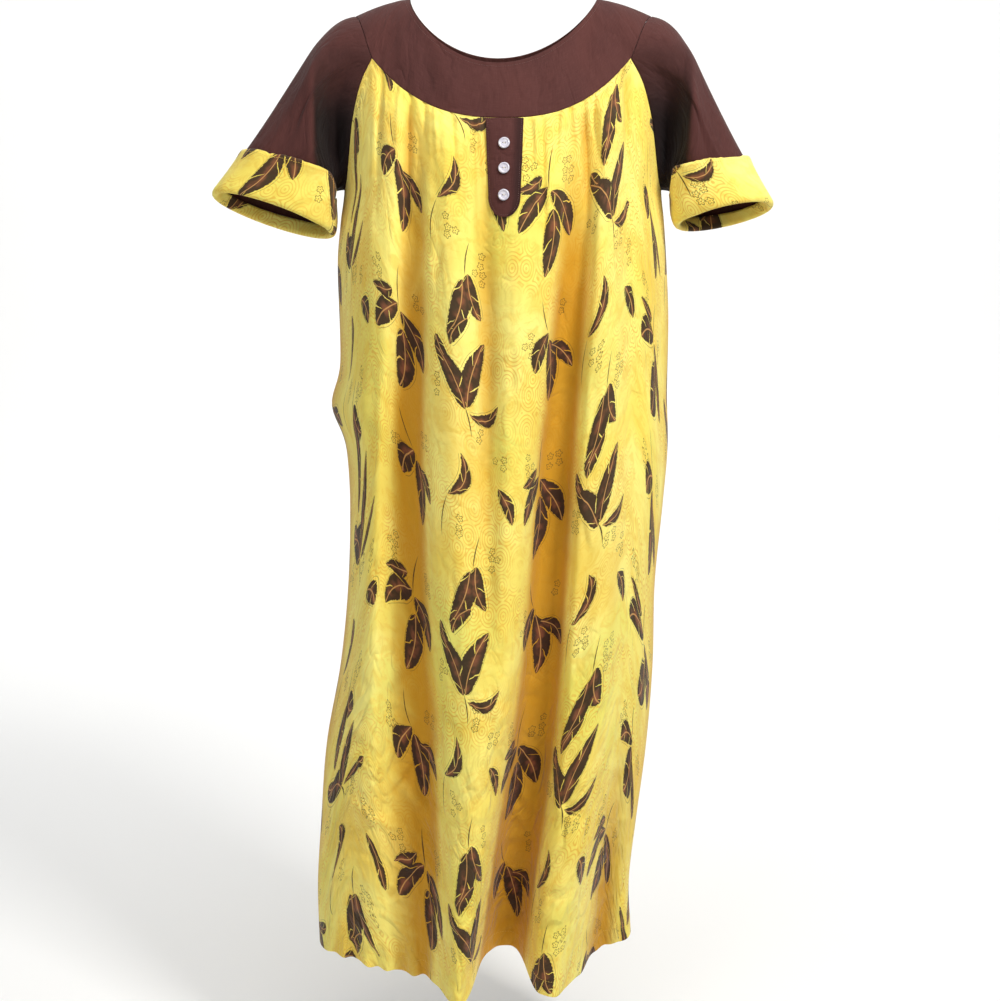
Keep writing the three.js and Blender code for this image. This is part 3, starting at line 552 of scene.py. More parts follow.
def sleeve_grid(name, angles):
    """Rows from the armhole to the opening. The last CUFF_ROWS lie under the turned-up cuff."""
    sleeve = SLEEVES[name]
    side = sleeve["side"]
    front, back = armhole(side, angles)
    front_angles = 180 * (1 - shares(front))
    back_angles = -180 * (1 - shares(back))
    start = np.concatenate([front, back[1:-1][::-1]])
    angle = np.concatenate([front_angles, back_angles[1:-1][::-1]])
    if side < 0:
        start, angle = start[::-1], angle[::-1]
    middle, outward, forward = (np.array(sleeve[k], float) for k in (
        "middle", "outward", "forward"))
    end = middle + outward * cosd(angle)[:, None] + forward * sind(angle)[:, None]
    length = np.linalg.norm(end - start, axis=1)
    leave = lerp(SLEEVE_LEAVE["top"], SLEEVE_LEAVE["under"],
                 ease(np.abs(angle) / SLEEVE_LEAVE["under_angle"]))
    leaving = start + np.stack([
        side * leave * length, np.zeros_like(length), -SLEEVE_LEAVE["droop"] * length], -1)
    settling = lerp(end, start, SLEEVE_LEAVE["settle"])

    def run(t):
        t = t[..., None]
        rest = 1 - t
        return (start * rest ** 3 + leaving * 3 * rest ** 2 * t + settling * 3 * rest * t ** 2
                + end * t ** 3)

    cuff_share = np.zeros_like(length)
    for _ in range(200):
        short = np.linalg.norm(run(1 - cuff_share) - end, axis=-1) < CUFF_HEIGHT
        cuff_share += SLEEVE_CUFF_STEP * (short & (cuff_share < CUFF_UNDERARM_SHARE))
    near = NEAR_EDGE[:, None] / length
    body = lerp(near[-1], 1 - cuff_share, np.linspace(0, 1, SLEEVE_ROWS)[1:, None])
    low = lerp(1 - cuff_share, np.ones_like(cuff_share),
               np.linspace(0, 1, CUFF_ROWS + 1)[1:, None])
    t = np.concatenate([near, body, low])
    point = run(t)
    point[..., 1] -= SLEEVE_SWELL * sind(angle) * np.sin(np.pi * t)
    fold = front_fold(sleeve, point) * ease(t / SLEEVE_FOLD["seam_share"])
    point[..., 1] += np.where((angle > 0) & (angle < 180), fold, 0)
    return point, angle, t


# Turning grids into cloth
def grid_normals(grid, wraps=False):
    if wraps:
        along = np.roll(grid, -1, 1) - np.roll(grid, 1, 1)
    else:
        along = np.concatenate([
            grid[:, 1:2] - grid[:, :1], grid[:, 2:] - grid[:, :-2], grid[:, -1:] - grid[:, -2:-1]],
            1)
    below = np.concatenate([
        grid[1:2] - grid[:1], grid[2:] - grid[:-2], grid[-1:] - grid[-2:-1]])
    normal = np.cross(below, along)
    return normal / np.maximum(np.linalg.norm(normal, axis=-1, keepdims=True), 1e-9)


def roll_edge(grid, normals, edges):
    """Turns each sewn edge inwards over a small radius and draws it back from the seam."""
    result = grid.copy()

    def turned(distance):
        d = np.clip(distance, 0, ROLL)
        return ROLL - np.sqrt(np.maximum(ROLL ** 2 - (ROLL - d) ** 2, 0))

    def work(lines, line_normals):
        first = lines[0].copy()
        for line, normal in zip(lines, line_normals):
            distance = np.linalg.norm(line - first, axis=-1)
            line -= normal * (turned(distance) * ROLL_DEPTH)[..., None]
        step = lines[1] - first
        lines[0] += step / np.maximum(
            np.linalg.norm(step, axis=-1, keepdims=True), 1e-6) * SEAM_PULL

    if "top" in edges:
        work(list(result[:ROLL_ROWS]), normals)
    if "low" in edges:
        work(list(result[::-1][:ROLL_ROWS]), normals[::-1])
    if "sides" in edges:
        across, across_normals = result.swapaxes(0, 1), normals.swapaxes(0, 1)
        work(list(across[:ROLL_ROWS]), across_normals)
        work(list(across[::-1][:ROLL_ROWS]), across_normals[::-1])
    return result


# Rows up and down that the map of the flat cloth is evened over
MAP_SMOOTHING = 6


def smooth_rows(values, reach):
    kernel = np.hanning(2 * reach + 3)[1:-1]
    kernel /= kernel.sum()
    padded = np.pad(values, ((reach, reach), (0, 0)), mode="edge")
    return np.stack([np.convolve(padded[:, i], kernel, mode="valid")
                     for i in range(values.shape[1])], 1)


def cloth_map(grid, wraps=False, shift=(0, 0)):
    """Places on the flat cloth, in metres: round the body from its middle, and down."""
    closed = np.concatenate([grid, grid[:, :1]], 1) if wraps else grid
    steps = np.linalg.norm(np.diff(closed, axis=1), axis=-1)
    round_the = np.concatenate([np.zeros((len(grid), 1)), np.cumsum(steps, 1)], 1)
    round_the = smooth_rows(round_the, MAP_SMOOTHING)
    round_the -= round_the[:, -1:] / 2
    down = np.concatenate([
        np.zeros((1, grid.shape[1])),
        np.cumsum(np.linalg.norm(np.diff(grid, axis=0), axis=-1), 0)])
    if wraps:
        down = np.concatenate([down, down[:, :1]], 1)
    return np.stack([round_the * MM + shift[0], -down * MM + shift[1]], -1)


def place_object(name, data):
    obj = bpy.data.objects.new(name, data)
    bpy.context.scene.collection.objects.link(obj)
    return obj


def plain_mesh(obj):
    """The mesh that an object's modifiers or curve end in."""
    view = bpy.context.evaluated_depsgraph_get()
    return bpy.data.meshes.new_from_object(obj.evaluated_get(view))


def shade_smooth(mesh):
    mesh.polygons.foreach_set("use_smooth", [True] * len(mesh.polygons))


def cloth_object(name, points, faces, uvs, hollow):
    mesh = bpy.data.meshes.new(name)
    mesh.from_pydata((np.asarray(points) * MM).tolist(), [], faces)
    layer = mesh.uv_layers.new(name="cloth")
    layer.data.foreach_set("uv", np.asarray(uvs, np.float32).ravel())
    # hollow: how strongly shade is painted into the cloth's colour, in fold valleys, the sleeves'
    # upright folds and the tab's right side
    attribute = mesh.attributes.new("hollow", "FLOAT", "POINT")
    attribute.data.foreach_set("value", np.asarray(hollow, np.float32).ravel())
    mesh.validate()
    shade_smooth(mesh)
    mesh.update()
    return place_object(name, mesh)


def cloth_shell(name, grid, normals, flat_map, thick, hollow, wraps=False):
    """A closed thin wall with the grid as its outer face. thick may differ from row to row."""
    rows, width = grid.shape[:2]
    thick = np.broadcast_to(np.asarray(thick, float).reshape(-1, 1, 1), (rows, 1, 1))
    inner = grid - normals * thick
    points = np.concatenate([grid.reshape(-1, 3), inner.reshape(-1, 3)])
    count = rows * width
    spans = width if wraps else width - 1
    j, i = np.meshgrid(np.arange(rows - 1), np.arange(spans), indexing="ij")
    j, i = j.ravel(), i.ravel()
    nxt = (i + 1) % width
    a, b, c, d = j * width + i, (j + 1) * width + i, (j + 1) * width + nxt, j * width + nxt
    corners = [(j, i), (j + 1, i), (j + 1, i + 1), (j, i + 1)]
    outer_uv = np.stack([flat_map[row, column] for row, column in corners], 1)
    faces = [np.stack([a, b, c, d], 1), np.stack([a, d, c, b], 1) + count]
    uvs = [outer_uv, outer_uv[:, [0, 3, 2, 1]]]

    def edge(first, second, uv_first, uv_second):
        faces.append(np.stack([first, first + count, second + count, second], 1))
        uvs.append(np.stack([uv_first, uv_first, uv_second, uv_second], 1))

    k = np.arange(spans)
    k_next = (k + 1) % width
    last = (rows - 1) * width
    edge(k_next, k, flat_map[0, k + 1], flat_map[0, k])
    edge(last + k, last + k_next, flat_map[-1, k], flat_map[-1, k + 1])
    if not wraps:
        r = np.arange(rows - 1)
        edge(r * width, (r + 1) * width, flat_map[r, 0], flat_map[r + 1, 0])
        edge((r + 1) * width + width - 1, r * width + width - 1,
             flat_map[r + 1, -1], flat_map[r, -1])
    return cloth_object(name, points, np.concatenate(faces).tolist(),
                        np.concatenate(uvs).reshape(-1, 2), np.tile(hollow.ravel(), 2))


# Node helpers
def srgb(red, green, blue):
    return tuple(
        (v / 255 / 12.92 if v <= 10 else ((v / 255 + 0.055) / 1.055) ** 2.4)
        for v in (red, green, blue)) + (1.0,)


class Nodes:
    """A short way to write a node tree: each call makes a node and returns an output."""

    def __init__(self, tree):
        self.tree = tree

    def put(self, socket, value):
        if isinstance(value, bpy.types.NodeSocket):
            self.tree.links.new(value, socket)
        elif value is not None:
            socket.default_value = value

    def make(self, kind, settings=None, inputs=None, output=0):
        item = self.tree.nodes.new(kind)
        for key, value in (settings or {}).items():
            setattr(item, key, value)
        for key, value in (inputs or {}).items():
            self.put(item.inputs[key], value)
        return item if output is None else item.outputs[output]

    def math(self, operation, a, b=None, c=None):
        return self.make("ShaderNodeMath", dict(operation=operation), {0: a, 1: b, 2: c})

    def times(self, a, b):
        return self.math("MULTIPLY", a, b)

    def times_plus(self, a, b, c):
        return self.math("MULTIPLY_ADD", a, b, c)

    def minus(self, a, b):
        return self.math("SUBTRACT", a, b)

    def vector(self, operation, a, b=None, output=0):
        return self.make("ShaderNodeVectorMath", dict(operation=operation), {0: a, 1: b},
                         output=output)

    def step(self, value, low, high):
        return self.make(
            "ShaderNodeMapRange", dict(interpolation_type="SMOOTHSTEP"),
            {"Value": value, "From Min": low, "From Max": high, "To Min": 0.0, "To Max": 1.0})

    def mix(self, factor, a, b, blend="MIX"):
        return self.make("ShaderNodeMix", dict(data_type="RGBA", blend_type=blend),
                         {0: factor, 6: a, 7: b}, output=2)

    def mix_vector(self, factor, a, b):
        return self.make("ShaderNodeMix", dict(data_type="VECTOR"), {0: factor, 4: a, 5: b},
                         output=1)

    def mix_value(self, factor, a, b):
        return self.make("ShaderNodeMix", None, {0: factor, 2: a, 3: b})

    def noise(self, vector, scale, detail=2.0, distortion=0.0, roughness=0.5):
        return self.make("ShaderNodeTexNoise", None, {
            "Vector": vector, "Scale": scale, "Detail": detail, "Distortion": distortion,
            "Roughness": roughness})

    def mapped(self, vector, scale, location=None):
        return self.make("ShaderNodeMapping", None, {
            "Vector": vector, "Scale": scale, "Location": location})

    def bump(self, strength, distance, height, normal=None):
        return self.make("ShaderNodeBump", None, {
            "Strength": strength, "Distance": distance, "Height": height, "Normal": normal})

    def split(self, vector):
        return tuple(self.make("ShaderNodeSeparateXYZ", None, {0: vector}, output=None).outputs)

    def join(self, x, y, z=0.0):
        return self.make("ShaderNodeCombineXYZ", None, {0: x, 1: y, 2: z})


def new_group(name, inputs, outputs, kind="ShaderNodeTree"):
    tree = bpy.data.node_groups.new(name, kind)
    for label, socket_type, value in inputs:
        socket = tree.interface.new_socket(label, in_out="INPUT", socket_type=socket_type)
        if value is not None:
            socket.default_value = value
    for label, socket_type in outputs:
        tree.interface.new_socket(label, in_out="OUTPUT", socket_type=socket_type)
    start = tree.nodes.new("NodeGroupInput")
    end = tree.nodes.new("NodeGroupOutput")
    return tree, Nodes(tree), start.outputs, end.inputs


# The leaf print
# It repeats every REPEAT_WIDE across and REPEAT_TALL down, and every second column drops half.
REPEAT_WIDE = 0.232
REPEAT_TALL = 0.36

# Each spray has a middle (x, y), its leaves and stalks measured from there (x, y of the joint,
# direction in degrees, length, half width, sideways bow) and patches of small outlined blossoms
# (x, y, half size across and down). A stalk is a leaf almost without width.
SPRAYS = [
    ((0.058, 0.262), [
        (0.000, 0.006, 232, 0.058, 0.0120, -0.005), (0.005, 0.000, 300, 0.060, 0.0126, 0.006),
        (0.006, -0.022, 262, 0.070, 0.0132, 0.006), (-0.008, 0.020, 205, 0.034, 0.0080, 0.004),
        (0.002, 0.000, 84, 0.052, 0.0010, 0.003),
    ], [(-0.030, 0.030, 0.010, 0.020), (0.032, 0.022, 0.010, 0.018)]),
    ((0.170, 0.190), [
        (0.000, -0.010, 121, 0.070, 0.0122, -0.007), (0.003, -0.008, 72, 0.076, 0.0124, 0.006),
        (0.006, -0.016, 18, 0.040, 0.0078, -0.012), (0.000, -0.006, 280, 0.036, 0.0010, 0.002),
    ], [(-0.036, 0.010, 0.009, 0.016), (0.020, -0.040, 0.010, 0.016)]),
    ((0.174, 0.338), [
        (-0.002, 0.000, 252, 0.068, 0.0118, 0.006), (0.006, 0.008, 286, 0.050, 0.0110, -0.006),
        (0.002, -0.046, 238, 0.040, 0.0092, -0.006), (0.002, 0.004, 80, 0.040, 0.0010, 0.002),
    ], [(0.026, 0.014, 0.010, 0.020)]),
    ((0.062, 0.082), [
        (0.000, 0.010, 246, 0.046, 0.0106, -0.005), (0.004, 0.000, 276, 0.070, 0.0124, 0.006),
        (0.010, -0.008, 318, 0.044, 0.0096, 0.006), (0.000, 0.010, 106, 0.040, 0.0010, 0.003),
    ], [(-0.028, -0.002, 0.009, 0.018), (0.030, 0.034, 0.010, 0.014)]),
    ((0.140, 0.066), [
        (0.000, 0.000, 70, 0.054, 0.0078, -0.014), (0.000, 0.000, 262, 0.052, 0.0010, -0.005),
    ], [(0.018, -0.030, 0.009, 0.016)]),
    ((0.212, 0.086), [
        (0.000, 0.000, 292, 0.044, 0.0080, 0.004), (-0.082, 0.176, 304, 0.036, 0.0068, -0.003),
    ], [(0.006, 0.036, 0.010, 0.014)]),
]
TORN_SLITS = 30.0
LEAF_PHASE = 1.7
LEAF_SIZE = 1.14
BLOSSOM_CELLS = 88.0


def nearest_repeat(n, place, x, y):
    """The place measured from the nearest repeat of the point x, y."""
    px, py, _ = n.split(place)
    dx = n.minus(px, x)
    dy = n.minus(py, y)
    column = n.math("ROUND", n.math("DIVIDE", dx, REPEAT_WIDE))
    dx = n.times_plus(column, -REPEAT_WIDE, dx)
    dy = n.times_plus(column, -REPEAT_TALL / 2, dy)
    row = n.math("ROUND", n.math("DIVIDE", dy, REPEAT_TALL))
    dy = n.times_plus(row, -REPEAT_TALL, dy)
    return n.join(dx, dy)


def leaf_outline_group():
    """How far a place lies inside one leaf, and where on that leaf it is."""
    tree, n, given, result = new_group("leaf_outline", [
        ("Local", "NodeSocketVector", None), ("Joint", "NodeSocketVector", None),
        ("Along", "NodeSocketVector", None), ("Across", "NodeSocketVector", None),
        ("Length", "NodeSocketFloat", 0.06), ("Half Width", "NodeSocketFloat", 0.01),
        ("Bow", "NodeSocketFloat", 0.0),
    ], [("Inside", "NodeSocketFloat"), ("On Leaf", "NodeSocketVector")])
    local = n.vector("SUBTRACT", given["Local"], given["Joint"])
    along = n.vector("DOT_PRODUCT", local, given["Along"], output="Value")
    across = n.vector("DOT_PRODUCT", local, given["Across"], output="Value")
    share = n.math("DIVIDE", along, given["Length"])
    rest = n.minus(1.0, share)
    inside = n.math("MAXIMUM", n.times(share, rest), 0.0)
    across = n.times_plus(n.times(given["Bow"], inside), -4.0, across)
    # widest below the middle, drawn out to a point
    outline = n.times(n.math("POWER", inside, 0.72), n.times_plus(rest, 0.9, 2.0))
    wide = n.times(outline, given["Half Width"])
    inside_wide = n.minus(wide, n.math("ABSOLUTE", across))
    beyond = n.math("MAXIMUM", n.times(n.times(share, rest), -1.0), 0.0)
    n.put(result["Inside"], n.times_plus(beyond, -0.2, inside_wide))
    n.put(result["On Leaf"], n.join(share, across, wide))
    return tree


def print_group():
    tree, n, given, result = new_group("leaf_print", [("Place", "NodeSocketVector", None)], [
        ("Leaf", "NodeSocketFloat"), ("Line", "NodeSocketFloat"), ("Glow", "NodeSocketFloat"),
        ("Blossom", "NodeSocketFloat")])
    outline_tree = leaf_outline_group()
    cells = n.make("ShaderNodeTexVoronoi", dict(voronoi_dimensions="2D"), {
        "Vector": given["Place"], "Scale": BLOSSOM_CELLS, "Randomness": 0.4}, output=None)
    middle = cells.outputs["Position"]
    best = on_leaf = chosen = None
    number = 0
    for (x, y), leaves, patches in SPRAYS:
        local = nearest_repeat(n, given["Place"], x, y)
        for joint_x, joint_y, degrees, length, half, bow in leaves:
            way = math.radians(degrees)
            item = n.make("ShaderNodeGroup", dict(node_tree=outline_tree), {
                "Local": local, "Joint": (joint_x, joint_y, 0.0),
                "Along": (math.cos(way), math.sin(way), 0.0),
                "Across": (-math.sin(way), math.cos(way), 0.0),
                "Length": length * LEAF_SIZE, "Half Width": half * LEAF_SIZE, "Bow": bow},
                output=None)
            inside, here = item.outputs[0], item.outputs[1]
            number += 1
            if best is None:
                best, on_leaf, phase = inside, here, LEAF_PHASE
                continue
            nearer = n.math("GREATER_THAN", inside, best)
            best = n.math("MAXIMUM", inside, best)
            on_leaf = n.mix_vector(nearer, on_leaf, here)
            phase = n.mix_value(nearer, phase, LEAF_PHASE * number)
        blossom_local = nearest_repeat(n, middle, x, y)
        for patch_x, patch_y, half_wide, half_tall in patches:
            away = n.vector("SUBTRACT", blossom_local, (patch_x, patch_y, 0.0))
            away = n.vector("DIVIDE", away, (half_wide, half_tall, 1.0))
            near = n.math("LESS_THAN", n.vector("LENGTH", away, output="Value"), 1.0)
            chosen = near if chosen is None else n.math("MAXIMUM", chosen, near)
    share, across, wide = n.split(on_leaf)
    away = n.math("ABSOLUTE", across)
    away_share = n.math("DIVIDE", away, n.math("ADD", wide, 0.0006))
    # torn slits run from the rib towards the tip, some of them right through the edge
    turn = n.times_plus(share, TORN_SLITS, n.times_plus(away_share, -6.0, phase))
    turn = n.times_plus(n.noise(given["Place"], 55.0), 5.0, turn)
    slit = n.step(n.math("SINE", turn), 0.9, 0.985)
    side = n.times(n.math("SIGN", across), 1.3)
    torn = n.step(n.math("SINE", n.times_plus(turn, 0.41, side)), -0.2, 0.3)
    notch = n.times(n.times(slit, torn), wide)
    edge = n.times_plus(notch, -0.8, best)
    broad = n.step(wide, 0.0012, 0.0024)
    ragged = n.minus(n.noise(given["Place"], 300.0, detail=2.0), 0.5)
    edge = n.times_plus(n.times(ragged, broad), 0.0034, edge)
    leaf = n.step(edge, 0.0, 0.0005)
    rib = n.minus(1.0, n.step(away, 0.0003, 0.0009))
    vein = n.times(n.times(slit, torn), n.step(away_share, 0.1, 0.5))
    line = n.math("MAXIMUM", rib, n.times(vein, 0.3))
    line = n.times(n.times(line, leaf), broad)
    # the ink slipped a little: a fine line beside one edge
    slip = n.times_plus(n.math("SIGN", across), 0.0009, 0.0016)
    beside = n.math("ABSOLUTE", n.math("ADD", best, slip))
    slipped = n.times(n.minus(1.0, n.step(beside, 0.0001, 0.0005)), 0.6)
    slipped = n.times(slipped, broad)
    n.put(result["Leaf"], n.math("MAXIMUM", leaf, slipped))
    n.put(result["Line"], line)
    n.put(result["Glow"], n.times(n.times(n.step(away_share, 0.75, 0.1), leaf), broad))
    # a blossom: five rounded petals in a fine line round a dot
    px, py, _ = n.split(n.vector("SUBTRACT", given["Place"], middle))
    radius = n.math("SQRT", n.times_plus(px, px, n.times(py, py)))
    spin = n.split(middle)[0]
    turn = n.times_plus(spin, 900.0, n.math("ARCTAN2", py, px))
    petal = n.math("ABSOLUTE", n.math("COSINE", n.times(turn, 2.5)))
    rim = n.times_plus(petal, 0.0022, 0.0023)
    drawn = n.minus(1.0, n.step(n.math("ABSOLUTE", n.minus(radius, rim)), 0.0003, 0.0008))
    eye = n.minus(1.0, n.step(radius, 0.0005, 0.0009))
    n.put(result["Blossom"], n.times(chosen, n.math("MAXIMUM", drawn, eye)))
    return tree


# Finishes
def new_material(name):
    material = bpy.data.materials.new(name)
    material.use_nodes = True
    tree = material.node_tree
    tree.nodes.clear()
    n = Nodes(tree)
    shader = tree.nodes.new("ShaderNodeBsdfPrincipled")
    output = tree.nodes.new("ShaderNodeOutputMaterial")
    tree.links.new(shader.outputs[0], output.inputs["Surface"])
    return material, n, shader.inputs


def set_values(sockets, values):
    for name, value in values.items():
        sockets[name].default_value = value


YARN_WIDTH = 0.0007


def weave_height(n, place):
    """Plain weave: threads over and under, each YARN_WIDTH metres wide."""
    x, y, _ = n.split(place)
    across = n.math("SINE", n.times(x, math.pi / YARN_WIDTH))
    along = n.math("SINE", n.times(y, math.pi / YARN_WIDTH))
    over = n.times(across, along)
    return n.times_plus(n.noise(place, 900.0), 0.5, over)


def cloth_bump(n, place, weave_depth, soft_depth, slack=1.0):
    creased = n.mapped(place, (1.0, 0.6, 1.0))
    soft = n.noise(creased, 30.0, detail=4.0, distortion=1.0)
    # sharp small creases, where two sheets of noise cross
    folded = n.noise(creased, 17.0, detail=2.0, distortion=1.4)
    folded = n.math("ABSOLUTE", n.minus(folded, 0.5))
    soft = n.times_plus(n.math("MINIMUM", folded, 0.09), 2.7, soft)
    first = n.bump(0.8, soft_depth, n.times(soft, slack))
    return n.bump(0.5, weave_depth, weave_height(n, place), first)


def yellow_print_finish():
    material, n, shader = new_material("yellow_leaf_print_cotton")
    place = n.make("ShaderNodeUVMap", dict(uv_map="cloth"))
    large = n.noise(place, 5.5, detail=2.0, distortion=0.8)
    small = n.noise(place, 19.0, detail=3.0)
    green = n.mapped(place, (1.0, 0.7, 1.0), (3.1, 1.7, 0.0))
    green = n.step(n.noise(green, 6.5, detail=2.0), 0.5, 0.68)
    amber = n.mapped(place, (1.0, 0.6, 1.0), (-2.3, 5.2, 0.0))
    amber = n.step(n.noise(amber, 9.0, detail=3.0), 0.5, 0.7)
    colour = n.mix(n.step(large, 0.35, 0.65), srgb(249, 235, 129), srgb(243, 223, 102))
    colour = n.mix(n.times(n.step(small, 0.45, 0.7), 0.35), colour, srgb(234, 204, 76))
    colour = n.mix(n.times(green, 0.4), colour, srgb(216, 220, 96))
    colour = n.mix(n.times(amber, 0.45), colour, srgb(232, 184, 54))
    blotches = n.step(n.noise(place, 42.0, detail=4.0, distortion=1.6, roughness=0.6), 0.44, 0.66)
    colour = n.mix(n.times(blotches, 0.42), colour, srgb(230, 188, 62))
    # faint contour rings, as in sawn wood
    grain = n.mapped(place, (1.0, 0.7, 1.0))
    rings = n.make("ShaderNodeTexVoronoi", dict(voronoi_dimensions="2D", feature="SMOOTH_F1"), {
        "Vector": grain, "Scale": 44.0, "Smoothness": 0.2, "Randomness": 0.7},
        output="Distance")
    rings = n.math("SINE", n.times(rings, 44.0))
    rings = n.times(n.step(rings, 0.1, 0.95), n.step(n.noise(place, 11.0), 0.4, 0.62))
    colour = n.mix(n.times(rings, 0.58), colour, srgb(222, 158, 38))
    # painted shade: the fold valleys are tinted dark amber by the hollow value
    hollow = n.make("ShaderNodeAttribute", dict(attribute_name="hollow"), output="Fac")
    colour = n.mix(hollow, colour, srgb(196, 136, 0))
    printed = n.make("ShaderNodeGroup", dict(node_tree=print_group()), {"Place": place},
                     output=None)
    leaf, line, glow, blossom = (printed.outputs[k] for k in range(4))
    colour = n.mix(n.times(blossom, 0.85), colour, srgb(100, 76, 22))
    blotch = n.noise(place, 60.0, detail=2.0)
    brown = n.mix(n.times(glow, n.step(blotch, 0.42, 0.66)), srgb(44, 19, 15), srgb(122, 66, 46))
    brown = n.mix(n.times(line, 0.75), brown, srgb(214, 158, 92))
    colour = n.mix(n.times(leaf, 0.97), colour, brown)
    yarn = n.noise(n.mapped(place, (1.0, 0.08, 1.0)), 1400.0, detail=1.0)
    colour = n.mix(0.06, colour, n.make("ShaderNodeCombineColor", None, {
        0: yarn, 1: yarn, 2: yarn}), "OVERLAY")
    n.put(shader["Base Color"], colour)
    n.put(shader["Roughness"], n.times_plus(small, 0.12, 0.72))
    set_values(shader, {"Sheen Weight": 0.12, "Sheen Roughness": 0.5, "Specular IOR Level": 0.28})
    # the skirt is creased more towards the hem
    up = n.split(place)[1]
    slack = n.times_plus(n.step(up, -0.55, -1.05), 0.8, 0.38)
    n.put(shader["Normal"], cloth_bump(n, place, 0.00012, 0.0080, slack))
    return material


def brown_cotton_finish():
    material, n, shader = new_material("brown_plain_cotton")
    place = n.make("ShaderNodeUVMap", dict(uv_map="cloth"))
    broad = n.noise(place, 12.0, detail=3.0, distortion=0.4)
    yarn = n.noise(n.mapped(place, (1.0, 0.07, 1.0)), 1100.0, detail=1.0)
    pick = n.noise(n.mapped(place, (0.07, 1.0, 1.0)), 1100.0, detail=1.0)
    colour = n.mix(n.step(broad, 0.3, 0.7), srgb(70, 37, 34), srgb(80, 44, 40))
    threads = n.math("ADD", n.times(yarn, 0.5), n.times(pick, 0.5))
    colour = n.mix(n.times(n.step(threads, 0.35, 0.7), 0.5), colour, srgb(92, 54, 50))
    # painted shade: the sleeves' upright folds and the tab's right side are tinted near-black by
    # the hollow value
    hollow = n.make("ShaderNodeAttribute", dict(attribute_name="hollow"), output="Fac")
    colour = n.mix(hollow, colour, srgb(13, 5, 5))
    n.put(shader["Base Color"], colour)
    n.put(shader["Roughness"], n.times_plus(broad, 0.14, 0.74))
    set_values(shader, {"Sheen Weight": 0.06, "Sheen Roughness": 0.45, "Specular IOR Level": 0.18})
    n.put(shader["Normal"], cloth_bump(n, place, 0.00014, 0.0034))
    return material


def pearl_finish():
    material, n, shader = new_material("pearl_button")
    place = n.make("ShaderNodeTexCoord", output="Object")
    cloud = n.noise(place, 260.0, detail=3.0, distortion=1.2)
    bands = n.make("ShaderNodeTexWave", dict(wave_type="BANDS", bands_direction="DIAGONAL"), {
        "Vector": place, "Scale": 90.0, "Distortion": 7.0, "Detail": 2.0}, output="Fac")
    colour = n.mix(n.step(cloud, 0.35, 0.65), srgb(196, 192, 204), srgb(216, 212, 214))
    colour = n.mix(n.times(bands, 0.4), colour, srgb(168, 164, 188))
    n.put(shader["Base Color"], colour)
    n.put(shader["Roughness"], n.times_plus(cloud, 0.12, 0.16))
    set_values(shader, {"Coat Weight": 0.5, "Coat Roughness": 0.12})
    n.put(shader["Normal"], n.bump(0.2, 0.0001, bands))
    return material


def thread_finish(name, colour, light):
    material, n, shader = new_material(name)
    place = n.make("ShaderNodeTexCoord", output="Object")
    twist = n.make("ShaderNodeTexWave", dict(wave_type="BANDS", bands_direction="DIAGONAL"), {
        "Vector": place, "Scale": 900.0, "Distortion": 1.5}, output="Fac")
    n.put(shader["Base Color"], n.mix(n.step(twist, 0.2, 0.8), colour, light))
    n.put(shader["Roughness"], n.times_plus(twist, 0.2, 0.5))
    shader["Sheen Weight"].default_value = 0.2
    n.put(shader["Normal"], n.bump(0.4, 0.0001, twist))
    return material


yellow_print = yellow_print_finish()
brown_cotton = brown_cotton_finish()
pearl = pearl_finish()
gold_thread = thread_finish("gold_thread", srgb(214, 168, 48), srgb(240, 206, 92))
brown_thread = thread_finish("brown_thread", srgb(70, 40, 34), srgb(108, 68, 58))
cream_thread = thread_finish("cream_thread", srgb(206, 196, 180), srgb(236, 228, 214))


def finish_piece(obj, material, node):
    obj.data.materials.clear()
    obj.data.materials.append(material)
    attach(obj, "root")
    if node:
        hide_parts(node)


# Sewing: a run of stitches along lines that lie on the cloth
THREAD_RADIUS = 0.22
STITCH_LIFT = 0.12
STITCH_SEED = 4


def stitch_tree():
    tree, n, given, result = new_group("run_of_stitches", [
        ("Geometry", "NodeSocketGeometry", None), ("Pitch", "NodeSocketFloat", 0.0032),
        ("Stitch Length", "NodeSocketFloat", 0.0025), ("Thread Radius", "NodeSocketFloat", 0.0002),
        ("Thread", "NodeSocketMaterial", None), ("Seed", "NodeSocketInt", STITCH_SEED),
    ], [("Geometry", "NodeSocketGeometry")], kind="GeometryNodeTree")
    line = n.make("GeometryNodeMeshToCurve", None, {"Mesh": given["Geometry"]})
    even = n.make("GeometryNodeResampleCurve", dict(mode="LENGTH"), {
        "Curve": line, "Length": given["Pitch"]})
    bead = n.make("GeometryNodeMeshUVSphere", None, {
        "Segments": 6, "Rings": 4, "Radius": 1.0}, output="Mesh")
    tangent = n.make("GeometryNodeInputTangent")
    turned = n.make("FunctionNodeAlignRotationToVector", dict(axis="X"), {"Vector": tangent})
    pull = n.make("FunctionNodeRandomValue", dict(data_type="FLOAT"), {
        "Min": 0.92, "Max": 1.05, "Seed": given["Seed"]}, output=1)
    half = n.times(n.times(given["Stitch Length"], 0.5), pull)
    size = n.join(half, given["Thread Radius"], given["Thread Radius"])
    row = n.make("GeometryNodeInstanceOnPoints", None, {
        "Points": even, "Instance": bead, "Rotation": turned, "Scale": size})
    solid = n.make("GeometryNodeRealizeInstances", None, {"Geometry": row})
    n.put(result["Geometry"], n.make("GeometryNodeSetMaterial", None, {
        "Geometry": solid, "Material": given["Thread"]}))
    return tree


STITCHES = stitch_tree()


